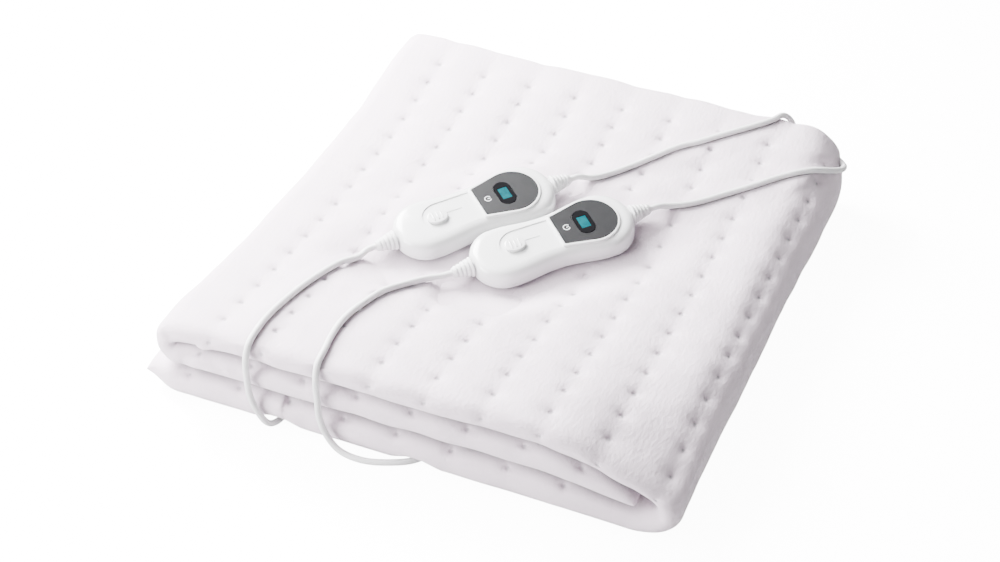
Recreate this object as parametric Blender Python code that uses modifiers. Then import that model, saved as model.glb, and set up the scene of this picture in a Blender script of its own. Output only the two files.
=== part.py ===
"""Folded electric underblanket with two corded hand controls. Metres, +Z up.

X runs along the front edge, left to right, and Y from the front edge to the back.  The origin is
the middle of the footprint, on the surface that the folded blanket rests on.

The blanket is one quilted sheet.  It is first folded in three across its depth, which gives a strip
of three layers with a plain roll at the front.  The strip is then folded in three like a letter:
bottom ply, round the right-hand nose to the top ply, and round the left-hand tip to the middle ply,
whose end lies inside the nose.
"""

import math

import bmesh
import bpy
from mathutils import Matrix, Vector, geometry

MM = 0.001

# ---------------------------------------------------------------- blanket sizes
SHEET = 6.0 * MM  # the quilted cloth, lofty as it lies
LAYER_GAP = 1.3 * MM  # between the three layers of a ply
PLY_GAP = 1.6 * MM  # between the three plies
PLY_HALF = (3 * SHEET + 2 * LAYER_GAP) / 2
LAYER_STEP = SHEET + LAYER_GAP
STACK = 6 * PLY_HALF + 2 * PLY_GAP

HALF_WIDTH = 241.5 * MM
HALF_DEPTH = 248 * MM
BACK_SKEW = 17 * MM  # the right end of the back edge lies this much further forward
SKEW_START = 110 * MM
CORNER_DRAW = 20 * MM  # the nose draws in towards the back, which rounds that corner in plan
CORNER_START = (150 * MM, 188 * MM)
NOSE_REACH = 32 * MM  # the right-hand nose, from its centre to the strip's middle
TIP_LEFT = -224 * MM  # the left-hand tip's outermost point
MIDDLE_END = 205 * MM  # where the middle ply ends, inside the nose
ROLL_REACH = 13 * MM  # the front roll, from its centre to its front
BACK_REACH = 8 * MM  # the fold at the back of each ply
HEM_SETBACK = 7 * MM  # the free layer stops this much before the back fold
END_TAPER = 0.55  # thickness left at a ply's free end
TAPER_LENGTH = 30 * MM

# the sewn dots, a rectangular lattice on the sheet
DOT_PITCH_X = 48.6 * MM
DOT_PITCH_Y = 28.3 * MM
DOT_COLUMN_8 = 174 * MM
DOT_COLUMNS = 9
DOT_ROW_0 = -220.5 * MM
DOT_ROWS = 16
DOT_DEPTH = 2.4 * MM

# how high the pile stands: springy at both folded edges, lower in the middle
FRONT_RISE = 0.33
FRONT_SPAN = 126 * MM
BACK_RISE = 0.31
BACK_SPAN = 107 * MM
SHOULDER_DROP = 0.50  # the front right corner is pressed down
SHOULDER_START = 120 * MM
SHOULDER_SPAN = 95 * MM
LEFT_DROP = 0.13  # and the front left corner a little
BELLY = 0.32  # the lower plies take more than a third of the height at the front

# the gently sloping place that the hand controls press into the pile
SEAT_CENTRE = (1 * MM, -8 * MM)
SEAT_HEIGHT = 63 * MM
SEAT_SLOPE = math.radians(9)
SEAT_TURN = math.radians(24)  # it rises towards the back left, this far from straight back
SEAT_CLEAR = 44 * MM  # pressed flat this far from a control's middle line
SEAT_FADE = 55 * MM
SEAT_LINE = 62 * MM  # half the length of that middle line

# the channels in which the two mains leads pass under the blanket
CHANNEL_A = -111 * MM
CHANNEL_B = 29.5 * MM
CHANNEL_LIFT = 7.8 * MM
CHANNEL_FLAT = 4.5 * MM
CHANNEL_EDGE = 13 * MM
CHANNEL_FADE = 44 * MM
MOUTH_SHIFT = 14 * MM  # lead B comes in from the left, so its channel starts further left
MOUTH_LENGTH = 48 * MM

# ---------------------------------------------------------------- hand control sizes
CONTROLS = {"a": (-37.5 * MM, -1.8 * MM, 49.0), "b": (39.1 * MM, -6.5 * MM, 47.0)}  # x, y, turn
SLIDER_LOBE = (-49.0 * MM, 27.9 * MM)  # place along the body, radius
DISPLAY_LOBE = (45.3 * MM, 30.6 * MM)
CASE_WIDEN = 1.08
WAIST_HALF = 24.5 * MM
LOBE_LEAN = 8.0  # degrees by which each lobe's arc stops short of a half turn
ARC_STEPS = 14
SIDE_STEPS = 5
CASE_TOP = 20.0 * MM
FIT_GAP = 0.3 * MM
LOWER_RINGS = ((0.0, 4.0), (1.2, 1.4), (3.4, 0.2), (6.0, 0.0))  # height, inset, in mm
UPPER_RINGS = ((6.3, 0.0), (12.2, 0.2), (16.4, 1.8), (18.9, 4.6), (20.0, 8.6))

PANEL_START = 4.0 * MM
PANEL_END = 60.0 * MM
PANEL_FLAT_HALF = 17.5 * MM
PANEL_RADIUS = 24.0 * MM
PANEL_DEPTH = 1.3 * MM
PLATEAU_RIM = 2.6 * MM
PLATEAU_RISE = 1.6 * MM
WINDOW_CENTRE = 29.5 * MM
WINDOW_SIZE = (15.5 * MM, 28.0 * MM)
DISPLAY_SIZE = (8.5 * MM, 13.5 * MM)
GLASS_RISE = 0.3 * MM

TRACK_CENTRE = -32.5 * MM
TRACK_RADIUS = 17.0 * MM
TRACK_DEPTH = 0.8 * MM
TRACK_END = PANEL_START - PLATEAU_RIM - 0.4 * MM
SLOT_SPAN = (-25.5 * MM, -11.5 * MM)
SLOT_PLACE = 2.2 * MM  # across, from the middle line
SLOT_WIDTH = 1.2 * MM
SLIDER_PLACE = -36.0 * MM
SLIDER_SIZE = (19.0 * MM, 16.0 * MM, 2.8 * MM)
RIB_COUNT = 3
RIB_STEP = 4.0 * MM
RIB_SIZE = (1.5 * MM, 9.0 * MM, 0.7 * MM)

AXIS_HEIGHT = 10.6 * MM  # the cords leave the case this high above its base
RELIEF_LENGTH = 18.0 * MM
RELIEF_START = 9.0 * MM
RELIEF_TIP = 4.4 * MM
RELIEF_RINGS = 5
RELIEF_GROOVE = 0.8 * MM

# ---------------------------------------------------------------- cord sizes
CORD = 5.5 * MM
CORD_LIFT = 1.6 * MM  # clear of the cloth's own unevenness
CORD_SPACING = 14 * MM
EXIT_RUN = 7 * MM  # straight out of a relief

# where each cord lies: x, y on top of the pile, then x, y, z off its edges, all in mm
MAINS_TOP = {
    "a": ((-108, -90), (-116, -109), (-122, -136), (-127, -162), (-129.5, -185), (-130.5, -207), (-129.5, -228)),
    "b": ((-44, -93), (-56, -111), (-64, -134), (-69, -156), (-72, -175), (-72.5, -194), (-70, -215), (-67, -230)),
}
MAINS_FALL = {
    "a": ((-128.5, -246, 85.5), (-128.5, -253, 74), (-129.5, -253, 55), (-128.5, -253.5, 36), (-123, -253, 19),
          (-116, -250, 6.5)),
    "b": ((-65.5, -246, 86), (-64.5, -253, 75), (-64.5, -253.5, 56), (-64, -254, 36), (-59, -254.5, 19), (-47, -256, 6.5),
          (-28, -256, 2.9), (-8, -251, 2.9)),
}
MAINS_UNDER = {
    "a": ((-112, -240), (-111, -220)),
    "b": ((13, -239), (22.5, -222), (28, -202), (29.5, -176)),
}
CHANNEL_YS = (-120, -40, 40, 120, 180, 220)  # then straight back along its channel
LEAD_TOP = {
    "a": ((34, 93), (46, 104), (56, 116), (66, 128), (78, 142), (98, 160), (114, 172), (129, 185),
          (144, 198), (158, 211), (168, 222)),
    "b": ((114, 86), (131, 94), (143, 100), (154, 109), (176, 131), (197, 151), (210, 161)),
}
LEAD_FALL = {
    "a": ((175, 234, 87), (182, 241, 77), (186, 240, 65)),
    "b": ((222, 172, 78), (233, 184.5, 72.5), (239.5, 198, 66), (239, 213, 60), (231, 226, 56), (222, 233, 54.5)),
}
LEAD_END = {"a": (187, 233.5, 58), "b": (212, 236, 54.5)}

COIL_RADIUS = 30.0 * MM
COIL_PITCH = 5.6 * MM
COIL_LAYERS = 3  # of two turns beside each other
COIL_BOTTOM = 1.4 * MM
COIL_ROUND = 2.4 * MM
COIL_CLEAR = 5.0 * MM  # from the blanket's back edge
COIL_SIDE = {"a": 1, "b": -1}  # which way it lies from its channel
TIE_WIDTH = 6.0 * MM
TIE_THICK = 0.9 * MM
PLUG_LENGTH = 36.0 * MM
PLUG_WIDTH = 35.3 * MM
PLUG_THICK = 13.7 * MM
PLUG_TAIL = 20.0 * MM
PLUG_NECK = 0.34  # its cord end's width, as a share of the whole
PLUG_SHOULDER = 0.45  # where it reaches that whole width, as a share of its length
PLUG_REACH = 72.0 * MM  # from the coil's middle to the plug's cord end
PLUG_TAIL_RADIUS = 4.2 * MM
# from the coil to the plug: share of the way across, and height in mm, at three places
TAIL_FALL = ((0.08, 10.6), (0.45, 8.2), (0.93, 6.85))
PIN_LENGTH = 19.0 * MM
PIN_RADIUS = 2.0 * MM
PIN_SPACING = 18.6 * MM


def smooth(start, end, value):
    """0 before start, 1 after end, and an even curve between."""
    share = min(max((value - start) / (end - start), 0.0), 1.0)
    return share * share * (3 - 2 * share)


# ---------------------------------------------------------------- scene helpers
def clear_scene():
    for thing in list(bpy.data.objects):
        bpy.data.objects.remove(thing, do_unlink=True)


def new_collection(name):
    group = bpy.data.collections.new(name)
    bpy.context.scene.collection.children.link(group)
    return group


def material(name, colour, roughness, metallic=0.0):
    made = bpy.data.materials.get(name)
    if made is None:
        made = bpy.data.materials.new(name)
        made.use_nodes = True
        shader = made.node_tree.nodes["Principled BSDF"]
        shader.inputs["Base Color"].default_value = (*colour, 1.0)
        shader.inputs["Roughness"].default_value = roughness
        shader.inputs["Metallic"].default_value = metallic
    return made


def cloth_material():
    return material("quilted_cloth", (0.86, 0.85, 0.87), 0.95)


def case_material():
    return material("case_plastic", (0.90, 0.90, 0.91), 0.28)


def cord_material():
    return material("cord_sleeve", (0.87, 0.87, 0.88), 0.42)


def tie_material():
    return material("tie_black", (0.03, 0.03, 0.03), 0.6)


def pin_material():
    return material("pin_brass", (0.78, 0.74, 0.60), 0.25, metallic=1.0)


def add_mesh(name, mesh_data, finish, group):
    mesh = bpy.data.meshes.new(name)
    mesh_data.to_mesh(mesh)
    mesh_data.free()
    thing = bpy.data.objects.new(name, mesh)
    group.objects.link(thing)
    if finish:
        mesh.materials.append(finish)
    return thing


# ---------------------------------------------------------------- blanket
def seat_height(x, y):
    """Height of the sloping seat under the hand controls."""
    away = (y - SEAT_CENTRE[1]) * math.cos(SEAT_TURN) - (x - SEAT_CENTRE[0]) * math.sin(SEAT_TURN)
    return SEAT_HEIGHT + away * math.tan(SEAT_SLOPE)


def seat_share(x, y):
    """1 under the hand controls, falling to 0 around them."""
    nearest = 1.0
    for centre_x, centre_y, turn in CONTROLS.values():
        along_x, along_y = math.cos(math.radians(turn)), math.sin(math.radians(turn))
        along = (x - centre_x) * along_x + (y - centre_y) * along_y
        held = min(max(along, -SEAT_LINE), SEAT_LINE)
        far = math.hypot(x - centre_x - held * along_x, y - centre_y - held * along_y)
        nearest = min(nearest, far)
    return 1 - smooth(SEAT_CLEAR, SEAT_CLEAR + SEAT_FADE, nearest)


def pile_factor(x, y):
    """How much the pile is stretched in height at a place of its plan."""
    from_front = y + HALF_DEPTH
    from_back = HALF_DEPTH - y
    front = math.exp(-((from_front / FRONT_SPAN) ** 2))
    back = math.exp(-((from_back / BACK_SPAN) ** 2))
    pressed = math.exp(-((from_front / SHOULDER_SPAN) ** 2))
    shoulder = SHOULDER_DROP * smooth(SHOULDER_START, HALF_WIDTH, x) * pressed
    shoulder += LEFT_DROP * smooth(SHOULDER_START, HALF_WIDTH, -x) * pressed
    free = 0.975 + FRONT_RISE * front + BACK_RISE * back - shoulder
    share = seat_share(x, y)
    return free * (1 - share) + share * seat_height(x, y) / STACK


def channel_lift(x, y):
    """How far the leads below lift the cloth."""
    mouth = MOUTH_SHIFT * (1 - smooth(-HALF_DEPTH, -HALF_DEPTH + MOUTH_LENGTH, y))
    nearest = min(abs(x - CHANNEL_A), abs(x - CHANNEL_B + mouth))
    return CHANNEL_LIFT * (1 - smooth(CHANNEL_FLAT, CHANNEL_EDGE, nearest))


def back_shift(x, y):
    """How far a place near the back edge is drawn forward."""
    return BACK_SKEW * (x + HALF_WIDTH) / (2 * HALF_WIDTH) * smooth(SKEW_START, HALF_DEPTH, y)


def settle(x, y, z):
    """From the even pile to the pile as it lies."""
    share = z / STACK
    front = math.exp(-(((y + HALF_DEPTH) / FRONT_SPAN) ** 2))
    height = STACK * pile_factor(x, y) * (share + BELLY * front * share * (1 - share))
    height += channel_lift(x, y) * max(0.0, 1 - height / CHANNEL_FADE)
    corner = smooth(CORNER_START[0], HALF_WIDTH, x) * smooth(CORNER_START[1], HALF_DEPTH, y) ** 2
    return Vector((x - CORNER_DRAW * corner, y - back_shift(x, y), height))


def top_height(x, y):
    """Height of the pile's top over a place of the plan."""
    even_y = y + back_shift(x, y)
    even_y = y + back_shift(x, even_y)
    return settle(x, even_y, STACK).z


def fold_stations():
    """The strip's middle line in the XZ plane, as (x, z, normal x, normal z, fullness, dot column)."""
    low = PLY_HALF
    mid = 3 * PLY_HALF + PLY_GAP
    high = 5 * PLY_HALF + 2 * PLY_GAP
    nose_x = HALF_WIDTH - NOSE_REACH - PLY_HALF
    nose_rise = (high - low) / 2
    tip_radius = (high - mid) / 2
    tip_x = TIP_LEFT + PLY_HALF + tip_radius
    columns = [DOT_COLUMN_8 - DOT_PITCH_X * step for step in range(DOT_COLUMNS - 1)]
    stations = []

    def run(places, height, outward, start, end):
        for x in places:
            taper = 1.0
            if start is not None:
                taper = END_TAPER + (1 - END_TAPER) * smooth(0, TAPER_LENGTH, abs(x - start))
            if end is not None:
                taper = END_TAPER + (1 - END_TAPER) * smooth(0, TAPER_LENGTH, abs(end - x))
            dot = any(abs(x - column) < 0.1 * MM for column in columns)
            stations.append((x, height, 0.0, outward, taper, dot))

    def bend(centre_x, centre_z, reach, rise, first, last, steps, dot_step=None):
        for step in range(1, steps):
            angle = math.radians(first + (last - first) * step / steps)
            normal = Vector((math.cos(angle) / reach, math.sin(angle) / rise)).normalized()
            x = centre_x + reach * math.cos(angle)
            z = centre_z + rise * math.sin(angle)
            stations.append((x, z, normal.x, normal.y, 1.0, step == dot_step))

    channel_lines = [
        channel + side * edge
        for channel in (CHANNEL_A, CHANNEL_B)
        for side, edge in ((-1, CHANNEL_EDGE), (-1, CHANNEL_FLAT), (1, CHANNEL_FLAT), (1, CHANNEL_EDGE))
    ]
    plain_lines = [-HALF_WIDTH, -234 * MM, -219 * MM, -180 * MM, -140 * MM, -60 * MM, -20 * MM]
    plain_lines += [2 * MM, 9 * MM, 85 * MM, 140 * MM, nose_x]
    run(sorted(plain_lines + channel_lines), low, -1.0, -HALF_WIDTH, None)
    bend(nose_x, (low + high) / 2, NOSE_REACH, nose_rise, -90, 90, 10, dot_step=8)
    halves = [column - DOT_PITCH_X / 2 for column in columns]
    top_lines = sorted([nose_x] + columns + halves, reverse=True)
    top_lines = [x for x in top_lines if x > tip_x + 4 * MM] + [tip_x]
    run(top_lines, high, 1.0, None, None)
    bend(tip_x, (high + mid) / 2, tip_radius, tip_radius, 90, 270, 6)
    inner_lines = [tip_x] + sorted(column for column in columns) + [MIDDLE_END - 8 * MM, MIDDLE_END]
    run(inner_lines, mid, -1.0, None, MIDDLE_END)
    return stations


def layer_stops(front, back):
    """Places along a hidden layer, closer together where the pile curves."""
    shares = (0.0, 0.15, 0.31, 0.44, 0.57, 0.70, 0.85, 1.0)
    return [front + (back - front) * share for share in shares]


def strip_section():
    """The strip's closed section, as (y, offset from the middle, dot row), row None off the dots."""
    roll_y = -HALF_DEPTH + ROLL_REACH
    back_y = HALF_DEPTH - BACK_REACH
    half = SHEET / 2
    rows = [(DOT_ROW_0 + DOT_PITCH_Y * row, row) for row in range(DOT_ROWS)]
    between = [(y + DOT_PITCH_Y / 2, None) for y, _ in rows]
    outer = sorted(rows + between + [(roll_y, None)], reverse=True)
    hidden = layer_stops(roll_y, back_y)
    loop = [(back_y, PLY_HALF, None)]
    loop += [(y, PLY_HALF, row) for y, row in outer if y < back_y - 2 * MM]

    def half_turn(centre_y, centre_w, reach, rise, first, last, steps, dots=()):
        for step in range(1, steps):
            angle = math.radians(first + (last - first) * step / steps)
            row = dots[step] if step < len(dots) else None
            y = centre_y - reach * math.sin(angle)
            loop.append((y, centre_w + rise * math.cos(angle), row))

    # down round the front roll, back along the free layer and round its hem
    half_turn(roll_y, 0, ROLL_REACH, PLY_HALF, 0, 180, 6, (None, None, None, -1, -2))
    free_back = back_y + BACK_REACH - HEM_SETBACK
    free = layer_stops(roll_y, free_back)
    loop += [(y, -PLY_HALF, None) for y in free]
    loop.append((free_back + 2 * MM, -LAYER_STEP, None))
    loop += [(y, -PLY_HALF + SHEET, None) for y in reversed(free)]
    # up inside the roll, back under the outer layer, round the inner turn of the back fold
    half_turn(roll_y, 0, ROLL_REACH - SHEET, PLY_HALF - SHEET, 180, 0, 4)
    loop += [(y, PLY_HALF - SHEET, None) for y in hidden]
    loop.append((back_y + LAYER_GAP / 2, LAYER_STEP / 2, None))
    # forward over the middle layer, round its end, and back to the outer turn of the back fold
    middle = [max(y, roll_y + 3 * MM) for y in hidden]
    loop += [(y, half, None) for y in reversed(middle)]
    loop.append((roll_y + 1 * MM, 0, None))
    loop += [(y, -half, None) for y in middle]
    half_turn(back_y, LAYER_STEP / 2, -BACK_REACH, LAYER_STEP / 2 + half, 180, 0, 5)
    return loop


def make_blanket(group):
    section = strip_section()
    stations = fold_stations()
    bm = bmesh.new()
    rings = []
    for x, z, normal_x, normal_z, fullness, dot_column in stations:
        ring = []
        for y, offset, row in section:
            dimple = 0.0
            if dot_column and row is not None:
                top = normal_z > 0
                front_dot = row < 0 and row == (-1 if top else -2)
                if row >= 0 and top or front_dot:
                    dimple = DOT_DEPTH
            forward = dimple if row is not None and row < 0 else 0.0
            inward = dimple if row is not None and row >= 0 else 0.0
            reach = (offset - inward) * fullness
            ring.append(bm.verts.new(settle(x + normal_x * reach, y + forward, z + normal_z * reach)))
        rings.append(ring)
    count = len(section)
    for first, second in zip(rings, rings[1:]):
        for index in range(count):
            after = (index + 1) % count
            bm.faces.new((first[index], first[after], second[after], second[index]))
    bm.faces.new(rings[0])
    bm.faces.new(list(reversed(rings[-1])))
    bmesh.ops.recalc_face_normals(bm, faces=bm.faces)
    blanket = add_mesh("blanket", bm, cloth_material(), group)
    blanket.data.shade_smooth()
    return blanket


# ---------------------------------------------------------------- shared shapes
def flat_plate(name, outline, bottom, top, finish, group, bevel=0.0, bevel_steps=2):
    """A flat outline given a thickness, with its upper and lower edges rounded if asked."""
    curve = bpy.data.curves.new(name, "CURVE")
    curve.dimensions = "2D"
    curve.fill_mode = "BOTH"
    curve.extrude = (top - bottom) / 2
    line = curve.splines.new("POLY")
    line.points.add(len(outline) - 1)
    for point, (x, y) in zip(line.points, outline):
        point.co = (x, y, 0, 1)
    line.use_cyclic_u = True
    sketch = bpy.data.objects.new(name + "_sketch", curve)
    group.objects.link(sketch)
    bpy.context.view_layer.update()
    mesh = bpy.data.meshes.new_from_object(sketch.evaluated_get(bpy.context.evaluated_depsgraph_get()))
    bpy.data.objects.remove(sketch, do_unlink=True)
    bm = bmesh.new()
    bm.from_mesh(mesh)
    bpy.data.meshes.remove(mesh)
    bmesh.ops.remove_doubles(bm, verts=bm.verts, dist=0.00001)
    bmesh.ops.translate(bm, verts=bm.verts, vec=(0, 0, (top + bottom) / 2))
    plate = add_mesh(name, bm, finish, group)
    if bevel:
        rounding = plate.modifiers.new("rounded_edges", "BEVEL")
        rounding.width = bevel
        rounding.segments = bevel_steps
        rounding.limit_method = "ANGLE"
        rounding.angle_limit = math.radians(50)
    return plate


def box(name, low, high, finish, group):
    bm = bmesh.new()
    bmesh.ops.create_cube(bm, size=1)
    size = Vector(high) - Vector(low)
    bmesh.ops.scale(bm, verts=bm.verts, vec=size)
    bmesh.ops.translate(bm, verts=bm.verts, vec=(Vector(high) + Vector(low)) / 2)
    return add_mesh(name, bm, finish, group)


def turned(name, profile, finish, group, steps=12, closed=False):
    """A profile of (along, radius) turned about X, listed along its outer side."""
    bm = bmesh.new()
    points = [bm.verts.new((along, 0, radius)) for along, radius in reversed(profile)]
    if closed:
        points.append(points[0])
    for first, second in zip(points, points[1:]):
        bm.edges.new((first, second))
    piece = add_mesh(name, bm, finish, group)
    turn = piece.modifiers.new("turned", "SCREW")
    turn.axis = "X"
    turn.steps = steps
    turn.render_steps = steps
    turn.use_merge_vertices = True
    turn.merge_threshold = 0.00001
    return piece


def combine(piece, tool, operation, cutters):
    """Join or cut with a tool that is then kept out of sight."""
    for group in list(tool.users_collection):
        group.objects.unlink(tool)
    cutters.objects.link(tool)
    tool.hide_render = True
    tool.display_type = "WIRE"
    step = piece.modifiers.new(operation.lower(), "BOOLEAN")
    step.operation = operation
    step.object = tool
    step.solver = "EXACT"


def arc(centre_x, radius, first, last, steps):
    for step in range(steps + 1):
        angle = math.radians(first + (last - first) * step / steps)
        yield centre_x + radius * math.cos(angle), radius * math.sin(angle)


# ---------------------------------------------------------------- hand controls
def case_outline(inset):
    """The two round lobes and the drawn-in sides between them, set in from the widest line."""
    slider_x, slider_r = SLIDER_LOBE
    display_x, display_r = DISPLAY_LOBE

    def side_half(along):
        """Half the width between the lobes' ends, least at the waist."""
        share = (along - slider_x) / (display_x - slider_x)
        straight = slider_r + (display_r - slider_r) * share
        waist = (slider_r + display_r) / 2 - WAIST_HALF
        return straight - waist * math.sin(math.pi * share) ** 2 - inset

    outline = list(arc(display_x, display_r - inset, LOBE_LEAN - 90, 90 - LOBE_LEAN, ARC_STEPS))
    span = display_x - slider_x
    sides = [display_x - span * (step + 0.5) / SIDE_STEPS for step in range(SIDE_STEPS)]
    outline += [(along, side_half(along)) for along in sides]
    outline += list(arc(slider_x, slider_r - inset, 90 + LOBE_LEAN, 270 - LOBE_LEAN, ARC_STEPS))
    outline += [(along, -side_half(along)) for along in reversed(sides)]
    return outline


def case_shell(name, rings, finish, group):
    """A shell of the case's outline, drawn in from ring to ring and closed flat."""
    bm = bmesh.new()
    loops = []
    for height, inset in rings:
        outline = case_outline(inset * MM)
        loops.append([bm.verts.new((x, y * CASE_WIDEN, height * MM)) for x, y in outline])
    count = len(loops[0])
    for low, high in zip(loops, loops[1:]):
        for index in range(count):
            after = (index + 1) % count
            bm.faces.new((low[index], low[after], high[after], high[index]))
    bm.faces.new(list(reversed(loops[0])))
    bm.faces.new(loops[-1])
    return add_mesh(name, bm, finish, group)


def panel_outline(margin):
    """The display panel: one straight side, and a round end that its sides run out to."""
    centre = PANEL_END - PANEL_RADIUS
    reach = centre - PANEL_START
    lean = math.degrees(math.atan2(PANEL_RADIUS - PANEL_FLAT_HALF, reach))
    outline = list(arc(centre, PANEL_RADIUS + margin, -90 - lean, 90 + lean, 18))
    outline.append((PANEL_START - margin, PANEL_FLAT_HALF + margin))
    outline.append((PANEL_START - margin, -PANEL_FLAT_HALF - margin))
    return outline


def oblong(centre_x, size_x, size_y, margin=0.0, steps=8):
    """A rounded oblong across the case."""
    radius = size_x / 2 + margin
    half = size_y / 2 - size_x / 2
    upper = [(x, y + half) for x, y in arc(centre_x, radius, 0, 180, steps)]
    lower = [(x, y - half) for x, y in arc(centre_x, radius, 180, 360, steps)]
    return upper + lower


def track_outline():
    """The shallow track: round at the slider's end, open towards the display."""
    outline = list(arc(TRACK_CENTRE, TRACK_RADIUS, 90, 270, 14))
    outline += [(TRACK_END, -TRACK_RADIUS), (TRACK_END, TRACK_RADIUS)]
    return outline


def relief_profile():
    """A ribbed cone from the case to the cord, as (along, radius)."""
    profile = [(0.0, 0.0), (0.0, RELIEF_START)]
    step = RELIEF_LENGTH / RELIEF_RINGS
    for ring in range(RELIEF_RINGS):
        share = (ring + 0.5) / RELIEF_RINGS
        radius = RELIEF_START + (RELIEF_TIP - RELIEF_START) * share
        profile.append((step * (ring + 0.55), radius))
        if ring < RELIEF_RINGS - 1:
            profile.append((step * (ring + 0.75), radius - RELIEF_GROOVE))
            profile.append((step * (ring + 0.95), radius - RELIEF_GROOVE))
    profile += [(RELIEF_LENGTH, RELIEF_TIP), (RELIEF_LENGTH, 0.0)]
    return profile


def make_slider(name, group, cutters):
    length, width, height = SLIDER_SIZE
    outline = [(x, y) for y, x in oblong(0.0, width, length)]
    button = flat_plate(name, outline, 0.0, height, case_material(), group, bevel=1.1 * MM)
    for index in range(RIB_COUNT):
        along = (index - (RIB_COUNT - 1) / 2) * RIB_STEP
        low = (along - RIB_SIZE[0] / 2, -RIB_SIZE[1] / 2, height - 1 * MM)
        high = (along + RIB_SIZE[0] / 2, RIB_SIZE[1] / 2, height + RIB_SIZE[2])
        rib = box(f"{name}_rib_{index}", low, high, None, group)
        rib.parent = button
        combine(button, rib, "UNION", cutters)
    return button


def make_case(prefix, group, cutters):
    """The two shells, with the display's plateau and the slider's track on the upper one."""
    lower = case_shell(prefix + "lower_case", LOWER_RINGS, case_material(), group)
    upper = case_shell(prefix + "upper_case", UPPER_RINGS, case_material(), group)
    plateau_top = CASE_TOP + PLATEAU_RISE
    plateau = flat_plate(prefix + "plateau", panel_outline(PLATEAU_RIM), CASE_TOP - 2 * MM,
                         plateau_top, None, group, bevel=1.0 * MM, bevel_steps=1)
    combine(upper, plateau, "UNION", cutters)
    pocket = flat_plate(prefix + "pocket", panel_outline(FIT_GAP), plateau_top - PANEL_DEPTH - FIT_GAP,
                        plateau_top + 3 * MM, None, group)
    combine(upper, pocket, "DIFFERENCE", cutters)
    track = flat_plate(prefix + "track", track_outline(), CASE_TOP - TRACK_DEPTH,
                       CASE_TOP + 1 * MM, None, group)
    combine(upper, track, "DIFFERENCE", cutters)
    slot = box(prefix + "slot", (SLOT_SPAN[0], SLOT_PLACE - SLOT_WIDTH / 2, CASE_TOP - TRACK_DEPTH - 1 * MM),
               (SLOT_SPAN[1], SLOT_PLACE + SLOT_WIDTH / 2, CASE_TOP), None, group)
    combine(upper, slot, "DIFFERENCE", cutters)
    return [lower, upper]


def make_panel(prefix, group, cutters):
    """The grey panel, the black window let into it, and the lit display in the window."""
    top = CASE_TOP + PLATEAU_RISE
    bottom = top - PANEL_DEPTH
    grey = material("panel_grey", (0.23, 0.23, 0.24), 0.35)
    black = material("window_black", (0.012, 0.012, 0.014), 0.08)
    lit = material("display_teal", (0.01, 0.42, 0.50), 0.25)
    panel = flat_plate(prefix + "panel", panel_outline(0.0), bottom, top, grey, group)
    hole = flat_plate(prefix + "window_hole", oblong(WINDOW_CENTRE, *WINDOW_SIZE, FIT_GAP),
                      bottom - 1 * MM, top + 1 * MM, None, group)
    combine(panel, hole, "DIFFERENCE", cutters)
    window = flat_plate(prefix + "window", oblong(WINDOW_CENTRE, *WINDOW_SIZE), bottom,
                        top + GLASS_RISE, black, group)
    half_x, half_y = DISPLAY_SIZE[0] / 2, DISPLAY_SIZE[1] / 2
    opening = box(prefix + "display_hole",
                  (WINDOW_CENTRE - half_x - FIT_GAP, -half_y - FIT_GAP, bottom + 0.5 * MM),
                  (WINDOW_CENTRE + half_x + FIT_GAP, half_y + FIT_GAP, top + 2 * MM), None, group)
    combine(window, opening, "DIFFERENCE", cutters)
    display = box(prefix + "display", (WINDOW_CENTRE - half_x, -half_y, bottom + 0.8 * MM),
                  (WINDOW_CENTRE + half_x, half_y, top), lit, group)
    return [panel, window, display]


def control_frame(x, y, turn):
    """Where a hand control lies on the sloping seat: its base's middle, its length along X."""
    slope_x = seat_height(1.0, 0.0) - seat_height(0.0, 0.0)
    slope_y = seat_height(0.0, 1.0) - seat_height(0.0, 0.0)
    up = Vector((-slope_x, -slope_y, 1.0)).normalized()
    along = Vector((math.cos(math.radians(turn)), math.sin(math.radians(turn)), 0.0))
    along = (along - up * along.dot(up)).normalized()
    across = up.cross(along)
    frame = Matrix((along, across, up)).transposed().to_4x4()
    frame.translation = Vector((x, y, seat_height(x, y))) + up * FIT_GAP
    return frame


def make_control(letter, group, cutters):
    prefix = f"control_{letter}_"
    carrier = bpy.data.objects.new(prefix + "carrier", None)
    group.objects.link(carrier)
    carrier.matrix_world = control_frame(*CONTROLS[letter])
    pieces = make_case(prefix, group, cutters) + make_panel(prefix, group, cutters)
    slider = make_slider(prefix + "slider", group, cutters)
    slider.location = (SLIDER_PLACE, 0.0, CASE_TOP - TRACK_DEPTH + FIT_GAP)
    ends = (("mains", SLIDER_LOBE[0] - SLIDER_LOBE[1] - FIT_GAP, math.pi),
            ("lead", DISPLAY_LOBE[0] + DISPLAY_LOBE[1] + FIT_GAP, 0.0))
    for end, along, turn in ends:
        relief = turned(f"{prefix}{end}_relief", relief_profile(), cord_material(), group)
        relief.location = (along, 0.0, AXIS_HEIGHT)
        relief.rotation_euler = (0.0, 0.0, turn)
        pieces.append(relief)
    for thing in list(group.objects) + list(cutters.objects):
        if thing.name.startswith(prefix) and thing.type == "MESH" and thing.parent is None:
            thing.parent = carrier
    return pieces


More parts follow.
